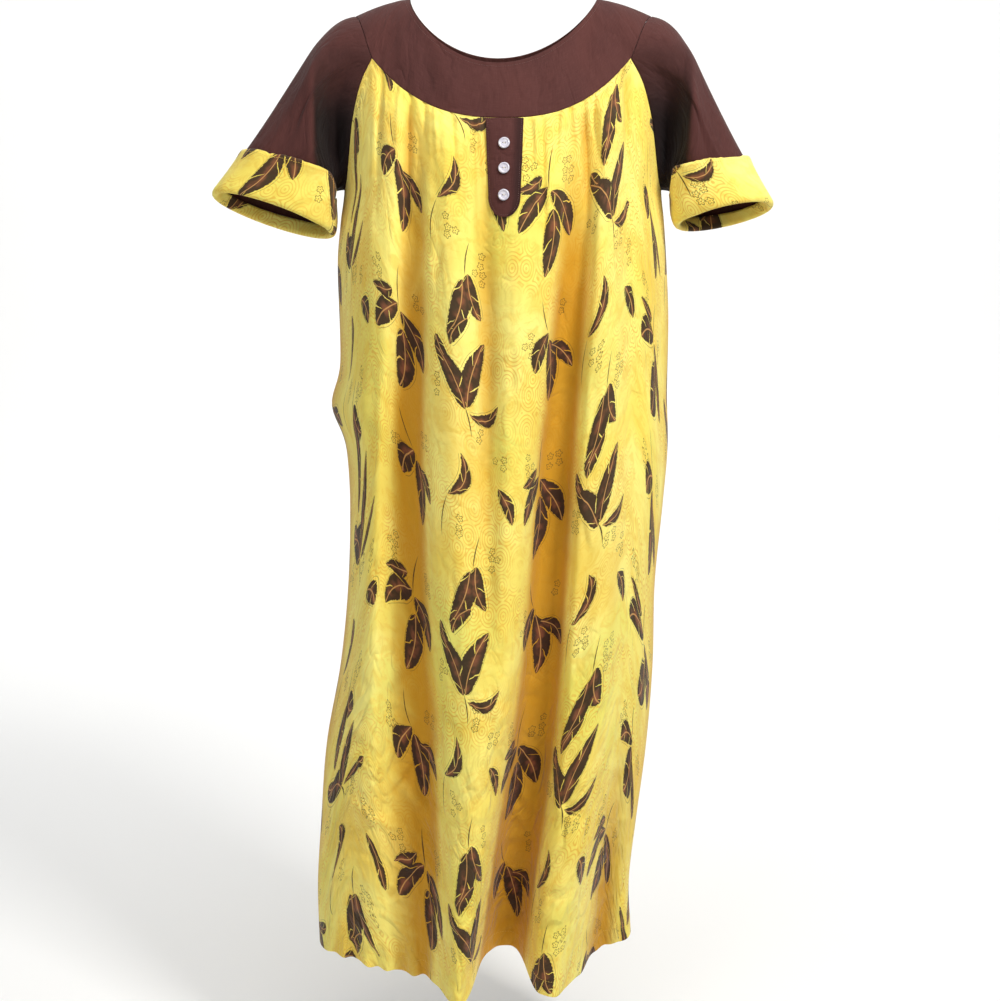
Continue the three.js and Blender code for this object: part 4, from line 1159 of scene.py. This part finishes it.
def sew(name, lines, thread, pitch, stitch):
    """Sews along lines. pitch is from stitch to stitch, stitch is the length that shows."""
    points, edges = [], []
    for line in lines:
        first = len(points)
        points.extend((np.asarray(line) * MM).tolist())
        edges.extend((first + k, first + k + 1) for k in range(len(line) - 1))
    guide_mesh = bpy.data.meshes.new(name + "_guide")
    guide_mesh.from_pydata(points, edges, [])
    guide = place_object(name + "_guide", guide_mesh)
    nodes = guide.modifiers.new("stitches", "NODES")
    nodes.node_group = STITCHES
    sockets = {item.name: item.identifier for item in STITCHES.interface.items_tree
               if item.in_out == "INPUT"}
    for label, value in {
            "Pitch": pitch * MM, "Stitch Length": stitch * MM, "Thread Radius": THREAD_RADIUS * MM,
            "Thread": thread, "Seed": STITCH_SEED}.items():
        nodes[sockets[label]] = value
    made = plain_mesh(guide)
    bpy.data.objects.remove(guide)
    made.name = name
    shade_smooth(made)
    finish_piece(place_object(name, made), thread, None)


# Making the dress
ANGLES = {
    "front_left": angle_steps(-90, -CORNER_ANGLE["left"], 36, True, False),
    "front_right": angle_steps(CORNER_ANGLE["right"], 90, 36, False, True),
    "back_right": angle_steps(90, CORNER_ANGLE["back"], 30, True, False),
    "back_left": angle_steps(-CORNER_ANGLE["back"], -90, 30, False, True),
}
front_seam = np.linspace(-CORNER_ANGLE["left"], CORNER_ANGLE["right"], 165)
back_seam = np.linspace(CORNER_ANGLE["back"], -CORNER_ANGLE["back"], 101)
front_angles = np.concatenate([ANGLES["front_left"], front_seam[1:-1], ANGLES["front_right"]])
back_angles = np.concatenate([ANGLES["back_right"], back_seam[1:-1], ANGLES["back_left"]])

# Outer faces of the finished pieces, with their normals, for what is laid or sewn on them
surfaces = {}
# Where each piece lies on the printed cloth, in metres
PRINT_SHIFTS = dict(front=(0, 0), back=(0.117, 0.09), left=(0.031, 0.052), right=(0.108, 0.19))
# Painted shade in the fold valleys: columns to each side that a hollow is measured against, the
# depth that counts as full, and the darkest value
HOLLOW_REACH, HOLLOW_DEPTH, HOLLOW_MOST = 29, 18, 0.9


def painted_fold_shade(grid):
    """How deep each point lies in a fold, from 0 on the ridges to HOLLOW_MOST. It sets how
    strongly shade is painted into the colour of the fold valleys.
    """
    depth = np.abs(grid[..., 1])
    count = 2 * HOLLOW_REACH + 1
    padded = np.pad(depth, ((0, 0), (HOLLOW_REACH, HOLLOW_REACH)), mode="edge")
    mean = np.stack([np.convolve(row, np.ones(count) / count, mode="valid") for row in padded])
    return np.clip((mean - depth) / HOLLOW_DEPTH, 0, 1) * HOLLOW_MOST


def make_panel(face, angles):
    grid = panel_grid(face, angles)
    cut = roll_edge(grid, grid_normals(grid), ["top", "sides"])
    flat = cloth_map(grid, shift=PRINT_SHIFTS[face])
    up = np.arange(len(grid))[::-1]
    above_hem = np.interp(up, np.arange(len(NEAR_HEM)), NEAR_HEM, right=99)
    thick = np.where(above_hem <= HEM_TURN, HEM_THICK, CLOTH)
    surfaces[face] = (cut, grid_normals(cut))
    # the panel's fold valleys get painted shade through the hollow value
    obj = cloth_shell(face + "_panel_cloth", *surfaces[face], flat, thick, painted_fold_shade(grid))
    finish_piece(obj, yellow_print, face + "_panel")
    return obj


front_panel = make_panel("front", front_angles)
back_panel = make_panel("back", back_angles)


def make_yoke(face, seam_angles):
    grid, t = yoke_grid(face, seam_angles)
    out = np.zeros(t.shape)
    for x, wide, depth, start, end in YOKE_CREASES[face]:
        way = np.clip((t - start) / (end - start), 0, 1)
        fade = np.sin(np.pi * way) ** YOKE_CREASE_FADE
        out += depth * fade * bump(grid[..., 0] - x, wide)
    out = YOKE_CREASE_DEPTH * out * np.sin(np.pi * t) ** 0.4
    grid = grid + grid_normals(grid) * out[..., None]
    cut = roll_edge(grid, grid_normals(grid), ["top", "low", "sides"])
    thick = np.where(t.mean(1) < NECK_TURN_SHARE, NECK_THICK, CLOTH)
    normals = grid_normals(cut)
    surfaces[face + "_yoke"] = (cut, normals, t)
    obj = cloth_shell(face + "_yoke_cloth", cut, normals, cloth_map(grid), thick,
                      np.zeros(t.shape))
    finish_piece(obj, brown_cotton, face + "_yoke")
    return obj


front_yoke = make_yoke("front", front_seam)
back_yoke = make_yoke("back", back_seam)


def make_sleeve(name):
    grid, angle, t = sleeve_grid(name, ANGLES)
    out = np.zeros(t.shape)
    for a0, t0, a1, t1, wide, depth in SLEEVE_CREASES[name]:
        way = np.clip((t - t0) / (t1 - t0), 0, 1)
        fade = np.sin(np.pi * way) ** CREASE_FADE
        out += depth * fade * bump(angle - lerp(a0, a1, way), wide)
    under_cuff = np.ones(len(t))
    under_cuff[-CUFF_ROWS - 4:] = np.linspace(1, 0, CUFF_ROWS + 4) ** 2
    grid = grid + grid_normals(grid, wraps=True) * (out * under_cuff[:, None])[..., None]
    cut = roll_edge(grid, grid_normals(grid, wraps=True), ["top"])
    down, inward = beside_ridge(SLEEVES[name], grid)
    # painted shade in the upright fold, more so towards its foot
    painted_shade = ease((inward + 2) / 6) * (0.35 * ease(down / 0.2) + 0.65 * ease((down - 0.2) / 0.5))
    painted_shade = np.where((angle > 20) & (angle < 180), painted_shade, 0)
    piece = "sleeve_" + name
    surfaces[piece] = (cut, grid_normals(cut, wraps=True))
    obj = cloth_shell(piece + "_cloth", *surfaces[piece], cloth_map(grid, wraps=True), CLOTH,
                      painted_shade * 0.95, wraps=True)
    finish_piece(obj, brown_cotton, piece)
    return obj


sleeves = {name: make_sleeve(name) for name in SLEEVES}

# A cuff's middle line: height above the opening, distance from the sleeve's outer face
CUFF_LINE = [
    (59.6, 2.6), (60.9, 3.4), (60.4, 4.6), (56, 4.4), (48, 3.7), (38, 3.3), (28, 3.0), (18, 2.8),
    (9, 2.6), (3, 2.4), (-0.6, 1.7), (-2.6, 0.2), (-3.2, -1.6), (-2.6, -3.3), (-0.4, -4.6),
    (3, -5.0), (6, -5.2), (9, -5.3), (11.8, -5.3),
]
CUFF_THICK = 1.1
# Dents reach only where the cuff stands this far out of the sleeve and only this deep, and they
# grow with this power of the height
CUFF_DENTED_FROM, CUFF_DEEPEST_DENT, CUFF_DENT_POWER = 2, -0.6, 1.5
# Soft dents and swells round a cuff: degrees, half width in degrees, out at the top edge
CUFF_DENTS = {
    "left": [(20, 9, -2.4), (44, 10, 2.8), (70, 9, -2.2), (94, 11, 2.4), (124, 14, -1.8),
             (150, 10, 2.2), (-40, 14, 2.4), (-74, 11, -2.0), (-112, 14, 2.2)],
    "right": [(24, 10, 2.6), (50, 10, -2.4), (78, 9, 2.2), (104, 10, -2.0), (132, 12, 2.4),
              (-34, 13, -2.2), (-66, 11, 2.4), (-104, 14, -2.0)],
}


def make_cuff(name):
    rows, row_normals = (part[-CUFF_ROWS - 1:][::-1] for part in surfaces["sleeve_" + name])
    width = rows.shape[1]
    sleeve = SLEEVES[name]
    angle = np.degrees(np.arctan2(
        (rows[0, :, 1] - sleeve["middle"][1]) / sleeve["forward"][1],
        (rows[0, :, 0] - sleeve["middle"][0]) / sleeve["outward"][0]))

    def place(up, out):
        at = up / CUFF_HEIGHT * CUFF_ROWS
        k = int(np.clip(math.floor(at), 0, CUFF_ROWS - 1))
        t = at - k
        point = rows[k] + (rows[k + 1] - rows[k]) * t
        normal = lerp(row_normals[k], row_normals[k + 1], float(np.clip(t, 0, 1)))
        normal = normal / np.linalg.norm(normal, axis=-1, keepdims=True)
        return point + normal * np.asarray(out).reshape(-1, 1)

    middle = []
    for up, out in CUFF_LINE:
        dent = np.zeros(width)
        if out > CUFF_DENTED_FROM:
            for at, wide, depth in CUFF_DENTS[name]:
                dent += depth * bump(angle - at, wide) * (up / CUFF_HEIGHT) ** CUFF_DENT_POWER
        middle.append(place(up, out + np.maximum(dent, CUFF_DEEPEST_DENT)))
    middle = np.array(middle)
    # offset the middle line both ways, square to it within each column, the first way outwards
    along = np.concatenate([
        middle[1:2] - middle[:1], middle[2:] - middle[:-2], middle[-1:] - middle[-2:-1]])
    around = np.roll(middle, -1, 1) - np.roll(middle, 1, 1)
    across = np.cross(along, around)
    across /= np.linalg.norm(across, axis=-1, keepdims=True)
    if np.mean(np.sum(across[8] * row_normals[3], -1)) < 0:
        across = -across
    outer = middle + across * (CUFF_THICK / 2)
    inner = middle - across * (CUFF_THICK / 2)
    loop = np.concatenate([outer, inner[::-1]])
    travel = np.concatenate([[0], np.cumsum(np.linalg.norm(
        np.diff(middle, axis=0), axis=-1).mean(1))])
    travel = np.concatenate([travel, travel[::-1]]) * MM
    half_way = CUFF_ROWS // 2
    ring = np.concatenate([rows[half_way], rows[half_way][:1]])
    ring = np.linalg.norm(np.diff(ring, axis=0), axis=-1)
    around_map = np.concatenate([[0], np.cumsum(ring)]) * MM
    count = len(loop)
    shift = PRINT_SHIFTS[name]
    faces, uvs = [], []
    for k in range(count):
        k_next = (k + 1) % count
        for i in range(width):
            i_next = (i + 1) % width
            faces.append([k * width + i, k_next * width + i,
                          k_next * width + i_next, k * width + i_next])
            u0, u1 = around_map[i] + shift[0], around_map[i + 1] + shift[0]
            v0, v1 = shift[1] - travel[k], shift[1] - travel[k_next]
            uvs.extend([(u0, v0), (u0, v1), (u1, v1), (u1, v0)])
    obj = cloth_object("cuff_%s_cloth" % name, loop.reshape(-1, 3), faces, uvs,
                       np.zeros(count * width))
    shaped = bmesh.new()
    shaped.from_mesh(obj.data)
    if shaped.calc_volume(signed=True) < 0:
        bmesh.ops.reverse_faces(shaped, faces=shaped.faces)
    shaped.to_mesh(obj.data)
    shaped.free()
    finish_piece(obj, yellow_print, "cuff_" + name)
    surfaces["cuff_" + name] = (outer, across)
    return obj


cuffs = {name: make_cuff(name) for name in SLEEVES}


# The placket tab, laid on the front panel
TAB = dict(x=1, top=-153.4, shoulder=-245, tip=-271, half_top=23, half_low=19)
TAB_LIFT, TAB_THICK = 2.6, 1.5
TAB_TIP_POWER = 2.2
# How far from the edge, how wide or far it reaches, and how deep or high, in mm
TAB_ROUNDING = dict(reach=1.1, depth=0.75)
TAB_STITCHES = dict(inset=2.6, wide=0.7, depth=0.35)
TAB_PILLOW = dict(reach=9, height=0.5)
# Soft bends of the tab: height, half width, how far out, power of the share across
TAB_BENDS = [(-198, 22, 0.5, 1), (-229, 18, -0.4, 2)]


def front_surface(x, z):
    """The front panel's face at x, z near its middle, and the outward direction there."""
    def depth(px, pz):
        middle, half = middle_and_half(pz)
        across = (px - middle) / half
        bow = np.sqrt(1 - np.abs(across) ** SIDE_ROUNDING)
        out = large_folds("front", px, pz, top_height("front", across))
        return -section["front"](pz) * bow - out

    y = depth(x, z)
    slope_x = (depth(x + 1, z) - depth(x - 1, z)) / 2
    slope_z = (depth(x, z + 1) - depth(x, z - 1)) / 2
    normal = np.stack([slope_x, -np.ones_like(y), slope_z], -1)
    normal /= np.linalg.norm(normal, axis=-1, keepdims=True)
    return np.stack([x, y, z], -1), normal


def make_placket():
    t_side = np.linspace(0, 1, 44) ** 0.98
    t_tip = np.sin(np.linspace(0, math.pi / 2, 17)[1:])
    z = np.concatenate([
        lerp(TAB["top"], TAB["shoulder"], t_side), lerp(TAB["shoulder"], TAB["tip"], t_tip)])
    half = np.concatenate([
        lerp(TAB["half_top"], TAB["half_low"], t_side),
        TAB["half_low"] * np.sqrt(np.maximum(1 - t_tip ** TAB_TIP_POWER, 0.004))])
    across = np.sin(np.linspace(-math.pi / 2, math.pi / 2, 37))
    x = TAB["x"] + half[:, None] * across
    z = np.broadcast_to(z[:, None], x.shape)
    face, normal = front_surface(x, z)
    from_side = half[:, None] * (1 - np.abs(across))
    from_tip = np.abs(z - TAB["tip"])
    from_edge = np.minimum(from_side, from_tip)
    inward = np.clip(from_edge / TAB_ROUNDING["reach"], 0, 1)
    rounded = TAB_ROUNDING["depth"] * (1 - np.sqrt(np.clip(1 - (1 - inward) ** 2, 0, 1)))
    stitched = TAB_STITCHES["depth"] * bump(
        from_edge - TAB_STITCHES["inset"], TAB_STITCHES["wide"])
    pillow = TAB_PILLOW["height"] * ease(from_edge / TAB_PILLOW["reach"])
    bent = sum(out * bump(z - at, wide) * across ** power for at, wide, out, power in TAB_BENDS)
    lift = TAB_LIFT - rounded - stitched + pillow + bent
    grid = face + normal * lift[..., None]
    surfaces["placket"] = (grid, grid_normals(grid))
    # the tab's right side gets painted shade through the hollow value
    obj = cloth_shell("placket_cloth", *surfaces["placket"], np.stack([x * MM, z * MM], -1),
                      TAB_THICK, 0.6 * ease((across - 0.3) / 0.5) * np.ones(x.shape))
    finish_piece(obj, brown_cotton, "placket")
    return obj


placket = make_placket()

# Buttons: a rim round a shallow eye with two holes, sewn through
BUTTON_HEIGHTS = dict(button_top=-183, button_middle=-213, button_bottom=-244)
BUTTON_PROFILE = [
    (0, 0.15), (4.6, 0.1), (5.9, 0.35), (6.7, 1.0), (7.0, 1.7), (6.85, 2.35), (6.4, 2.8),
    (5.8, 2.98), (5.3, 2.9), (4.9, 2.62), (4.5, 2.3), (3.9, 2.1), (2.9, 2.02), (1.6, 1.98),
    (0, 1.96),
]
HOLE_RADIUS = 0.75
HOLE_SPACING = 1.35
BUTTON_SIDES = 48
BUTTON_LIFT = 0.3
STRAND_RADIUS = 0.2
STRAND_OFFSETS = (-0.28, 0, 0.28)
STRAND_ARCH = [
    (-HOLE_SPACING, 0.6), (-HOLE_SPACING * 0.86, 2.0), (-0.6, 2.38), (0, 2.44),
    (0.6, 2.38), (HOLE_SPACING * 0.86, 2.0), (HOLE_SPACING, 0.6),
]


def turned_disc(name):
    """The button's profile turned round its middle, in millimetres."""
    body = bmesh.new()
    rings = []
    for radius, up in BUTTON_PROFILE:
        turns = [2 * math.pi * k / BUTTON_SIDES for k in range(BUTTON_SIDES if radius else 1)]
        rings.append([
            body.verts.new((radius * math.cos(turn), radius * math.sin(turn), up))
            for turn in turns])
    for low, high in zip(rings, rings[1:]):
        for k in range(BUTTON_SIDES):
            k_next = (k + 1) % BUTTON_SIDES
            if len(low) == 1:
                body.faces.new((low[0], high[k_next], high[k]))
            elif len(high) == 1:
                body.faces.new((low[k], low[k_next], high[0]))
            else:
                body.faces.new((low[k], low[k_next], high[k_next], high[k]))
    mesh = bpy.data.meshes.new(name)
    body.to_mesh(mesh)
    body.free()
    return place_object(name, mesh)


def drill_holes(obj):
    drill = bmesh.new()
    for side in (-1, 1):
        bmesh.ops.create_cone(
            drill, cap_ends=True, segments=20, radius1=HOLE_RADIUS, radius2=HOLE_RADIUS, depth=8,
            matrix=Matrix.Translation((side * HOLE_SPACING, 0, 1)))
    drill_mesh = bpy.data.meshes.new("drill")
    drill.to_mesh(drill_mesh)
    drill.free()
    driller = place_object("drill", drill_mesh)
    cut = obj.modifiers.new("holes", "BOOLEAN")
    cut.operation = "DIFFERENCE"
    cut.solver = "EXACT"
    cut.object = driller
    made = plain_mesh(obj)
    obj.modifiers.clear()
    obj.data = made
    bpy.data.objects.remove(driller)


def button_thread(name, seat):
    """The thread that goes down one hole and up the other, in three strands."""
    curve = bpy.data.curves.new(name, "CURVE")
    curve.dimensions = "3D"
    curve.bevel_depth = STRAND_RADIUS * MM
    curve.bevel_resolution = 2
    curve.use_fill_caps = True
    for offset in STRAND_OFFSETS:
        spline = curve.splines.new("POLY")
        spline.points.add(len(STRAND_ARCH) - 1)
        for point, (x, up) in zip(spline.points, STRAND_ARCH):
            point.co = (*(seat @ Vector((x, offset, up))), 1)
    holder = place_object(name + "_curve", curve)
    made = plain_mesh(holder)
    bpy.data.objects.remove(holder)
    finish_piece(place_object(name, made), cream_thread, None)


def make_button(name, height):
    grid, normals = surfaces["placket"]
    middle = grid.shape[1] // 2
    row = int(np.argmin(np.abs(grid[:, middle, 2] - height)))
    place, normal = grid[row, middle], normals[row, middle]
    obj = turned_disc(name + "_pearl")
    drill_holes(obj)
    facing = Vector(normal).to_track_quat("Z", "Y").to_matrix().to_4x4()
    seat = Matrix.Translation(Vector(place + normal * BUTTON_LIFT) * MM) @ facing @ Matrix.Scale(
        MM, 4)
    obj.data.transform(seat)
    shade_smooth(obj.data)
    obj.data.update()
    finish_piece(obj, pearl, name)
    button_thread(name + "_thread", seat)


for button_name, button_height in BUTTON_HEIGHTS.items():
    make_button(button_name, button_height)


# Stitched lines
HEM_STITCH_INSET, NECK_STITCH_INSET = 1.5, 5.5
CUFF_STITCH_ROW = 3


def grid_line(piece, at):
    """A line at fractional rows of a piece's face, one value for each column."""
    grid, normals = surfaces[piece][:2]
    at = np.clip(np.broadcast_to(at, grid.shape[1]), 0, len(grid) - 1.001)
    low = np.floor(at).astype(int)
    t = (at - low)[:, None]
    columns = np.arange(grid.shape[1])
    point = lerp(grid[low, columns], grid[low + 1, columns], t)
    return point + normals[low, columns] * STITCH_LIFT


def hem_line(face):
    """Along the top of the turned hem, short of the side seams."""
    row = np.interp(HEM_TURN - HEM_STITCH_INSET, NEAR_HEM, np.arange(len(NEAR_HEM)))
    return grid_line(face, len(surfaces[face][0]) - 1 - row)[3:-3]


def neck_line(face):
    """Beside a yoke's neck edge, short of the shoulder seams."""
    grid, _, t = surfaces[face + "_yoke"]
    share = NECK_STITCH_INSET / np.linalg.norm(grid[-1] - grid[0], axis=-1)
    rows = np.array([np.interp(share[i], t[:, i], np.arange(len(t)))
                     for i in range(grid.shape[1])])
    return grid_line(face + "_yoke", rows)[2:-2]


def placket_edge(inset):
    """A line round the tab at a distance in mm from its edge."""
    z_low = TAB["tip"] + inset
    t = np.linspace(0, 1, 60)
    z_side = lerp(TAB["top"] - 3, TAB["shoulder"], t)
    side = lerp(TAB["half_top"], TAB["half_low"], t) - inset
    turn = np.linspace(0, math.pi / 2, 24)
    tip_z = TAB["shoulder"] - (TAB["shoulder"] - z_low) * np.sin(turn)
    tip_x = (TAB["half_low"] - inset) * np.cos(turn) ** 0.95
    x = np.concatenate([-side, -tip_x[1:], tip_x[::-1][1:], side[::-1][1:]]) + TAB["x"]
    z = np.concatenate([z_side, tip_z[1:], tip_z[::-1][1:], z_side[::-1][1:]])
    face, normal = front_surface(x, z)
    return face + normal * (TAB_LIFT + 0.02)


def cuff_line(name):
    outer, across = surfaces["cuff_" + name]
    line = outer[CUFF_STITCH_ROW] + across[CUFF_STITCH_ROW] * 0.1
    return np.concatenate([line, line[:1]])


sew("hem_stitching", [hem_line("front"), hem_line("back")], gold_thread,
    pitch=3.6, stitch=2.8)
sew("neck_stitching", [neck_line("front"), neck_line("back")], brown_thread,
    pitch=2.9, stitch=2.2)
sew("placket_stitching", [placket_edge(TAB_STITCHES["inset"])], brown_thread,
    pitch=2.7, stitch=2.0)
for cuff_name in SLEEVES:
    sew("cuff_%s_stitching" % cuff_name, [cuff_line(cuff_name)], gold_thread,
        pitch=3.2, stitch=2.4)


# Studio
def studio_floor():
    """A plain pale floor that turns up softly into a wall far behind."""
    floor_z, wall_y, radius, half = -1.46, 5.5, 2.6, 9.0
    line = [(-7.0, floor_z), (wall_y - radius, floor_z)]
    for k in range(1, 17):
        turn = math.pi / 2 * k / 16
        line.append((wall_y - radius + radius * math.sin(turn),
                     floor_z + radius - radius * math.cos(turn)))
    line.append((wall_y, 6.0))
    points = [(side * half, y, z) for y, z in line for side in (-1, 1)]
    faces = [(2 * k, 2 * k + 1, 2 * k + 3, 2 * k + 2) for k in range(len(line) - 1)]
    mesh = bpy.data.meshes.new("studio_floor")
    mesh.from_pydata(points, [], faces)
    shade_smooth(mesh)
    obj = place_object("studio_floor", mesh)
    material, n, shader = new_material("pale_floor")
    place = n.make("ShaderNodeTexCoord", output="Object")
    n.put(shader["Base Color"], n.mix(n.noise(place, 0.6), srgb(240, 240, 239),
                                      srgb(244, 244, 243)))
    shader["Roughness"].default_value = 0.85
    mesh.materials.append(material)


studio_floor()


def soft_light(name, place, target, size, power, tint):
    light = bpy.data.lights.new(name, "AREA")
    light.shape = "RECTANGLE"
    light.size, light.size_y = size
    light.energy = power
    light.color = tint
    lamp = place_object(name, light)
    lamp.location = place
    lamp.rotation_euler = (Vector(target) - Vector(place)).to_track_quat("-Z", "Y").to_euler()


soft_light("window_light", (1.4, -1.65, 1.3), (0, 0, -0.05), (0.6, 0.7), 64, (1.0, 0.985, 0.96))
soft_light("fill_light", (-1.7, -2.2, 0.9), (-0.1, 0, -0.2), (2.0, 2.0), 14.5, (0.97, 0.985, 1.0))
soft_light("top_light", (0.0, -1.3, 1.9), (0, 0, -0.1), (1.8, 1.8), 26, (1.0, 1.0, 1.0))
soft_light("backdrop_light", (0.0, 1.9, 2.7), (0, 5.2, -0.6), (7.0, 1.6), 190, (1.0, 1.0, 1.0))

world = bpy.data.worlds.new("pale_room")
world.use_nodes = True
set_values(world.node_tree.nodes["Background"].inputs, {
    "Color": srgb(246, 246, 247), "Strength": 0.28})
bpy.context.scene.world = world

bpy.context.scene.view_settings.view_transform = "Standard"

LOOKING_DOWN = 10.178
camera_data = bpy.data.cameras.new("camera")
camera_data.sensor_fit = "HORIZONTAL"
camera_data.sensor_width = 36.0
camera_data.lens = 60.33
camera_data.clip_end = 60.0
camera = place_object("camera", camera_data)
camera.location = (-0.0046, -2.2, -0.25)
camera.rotation_euler = (math.radians(90 - LOOKING_DOWN), 0.0, 0.0)
bpy.context.scene.camera = camera
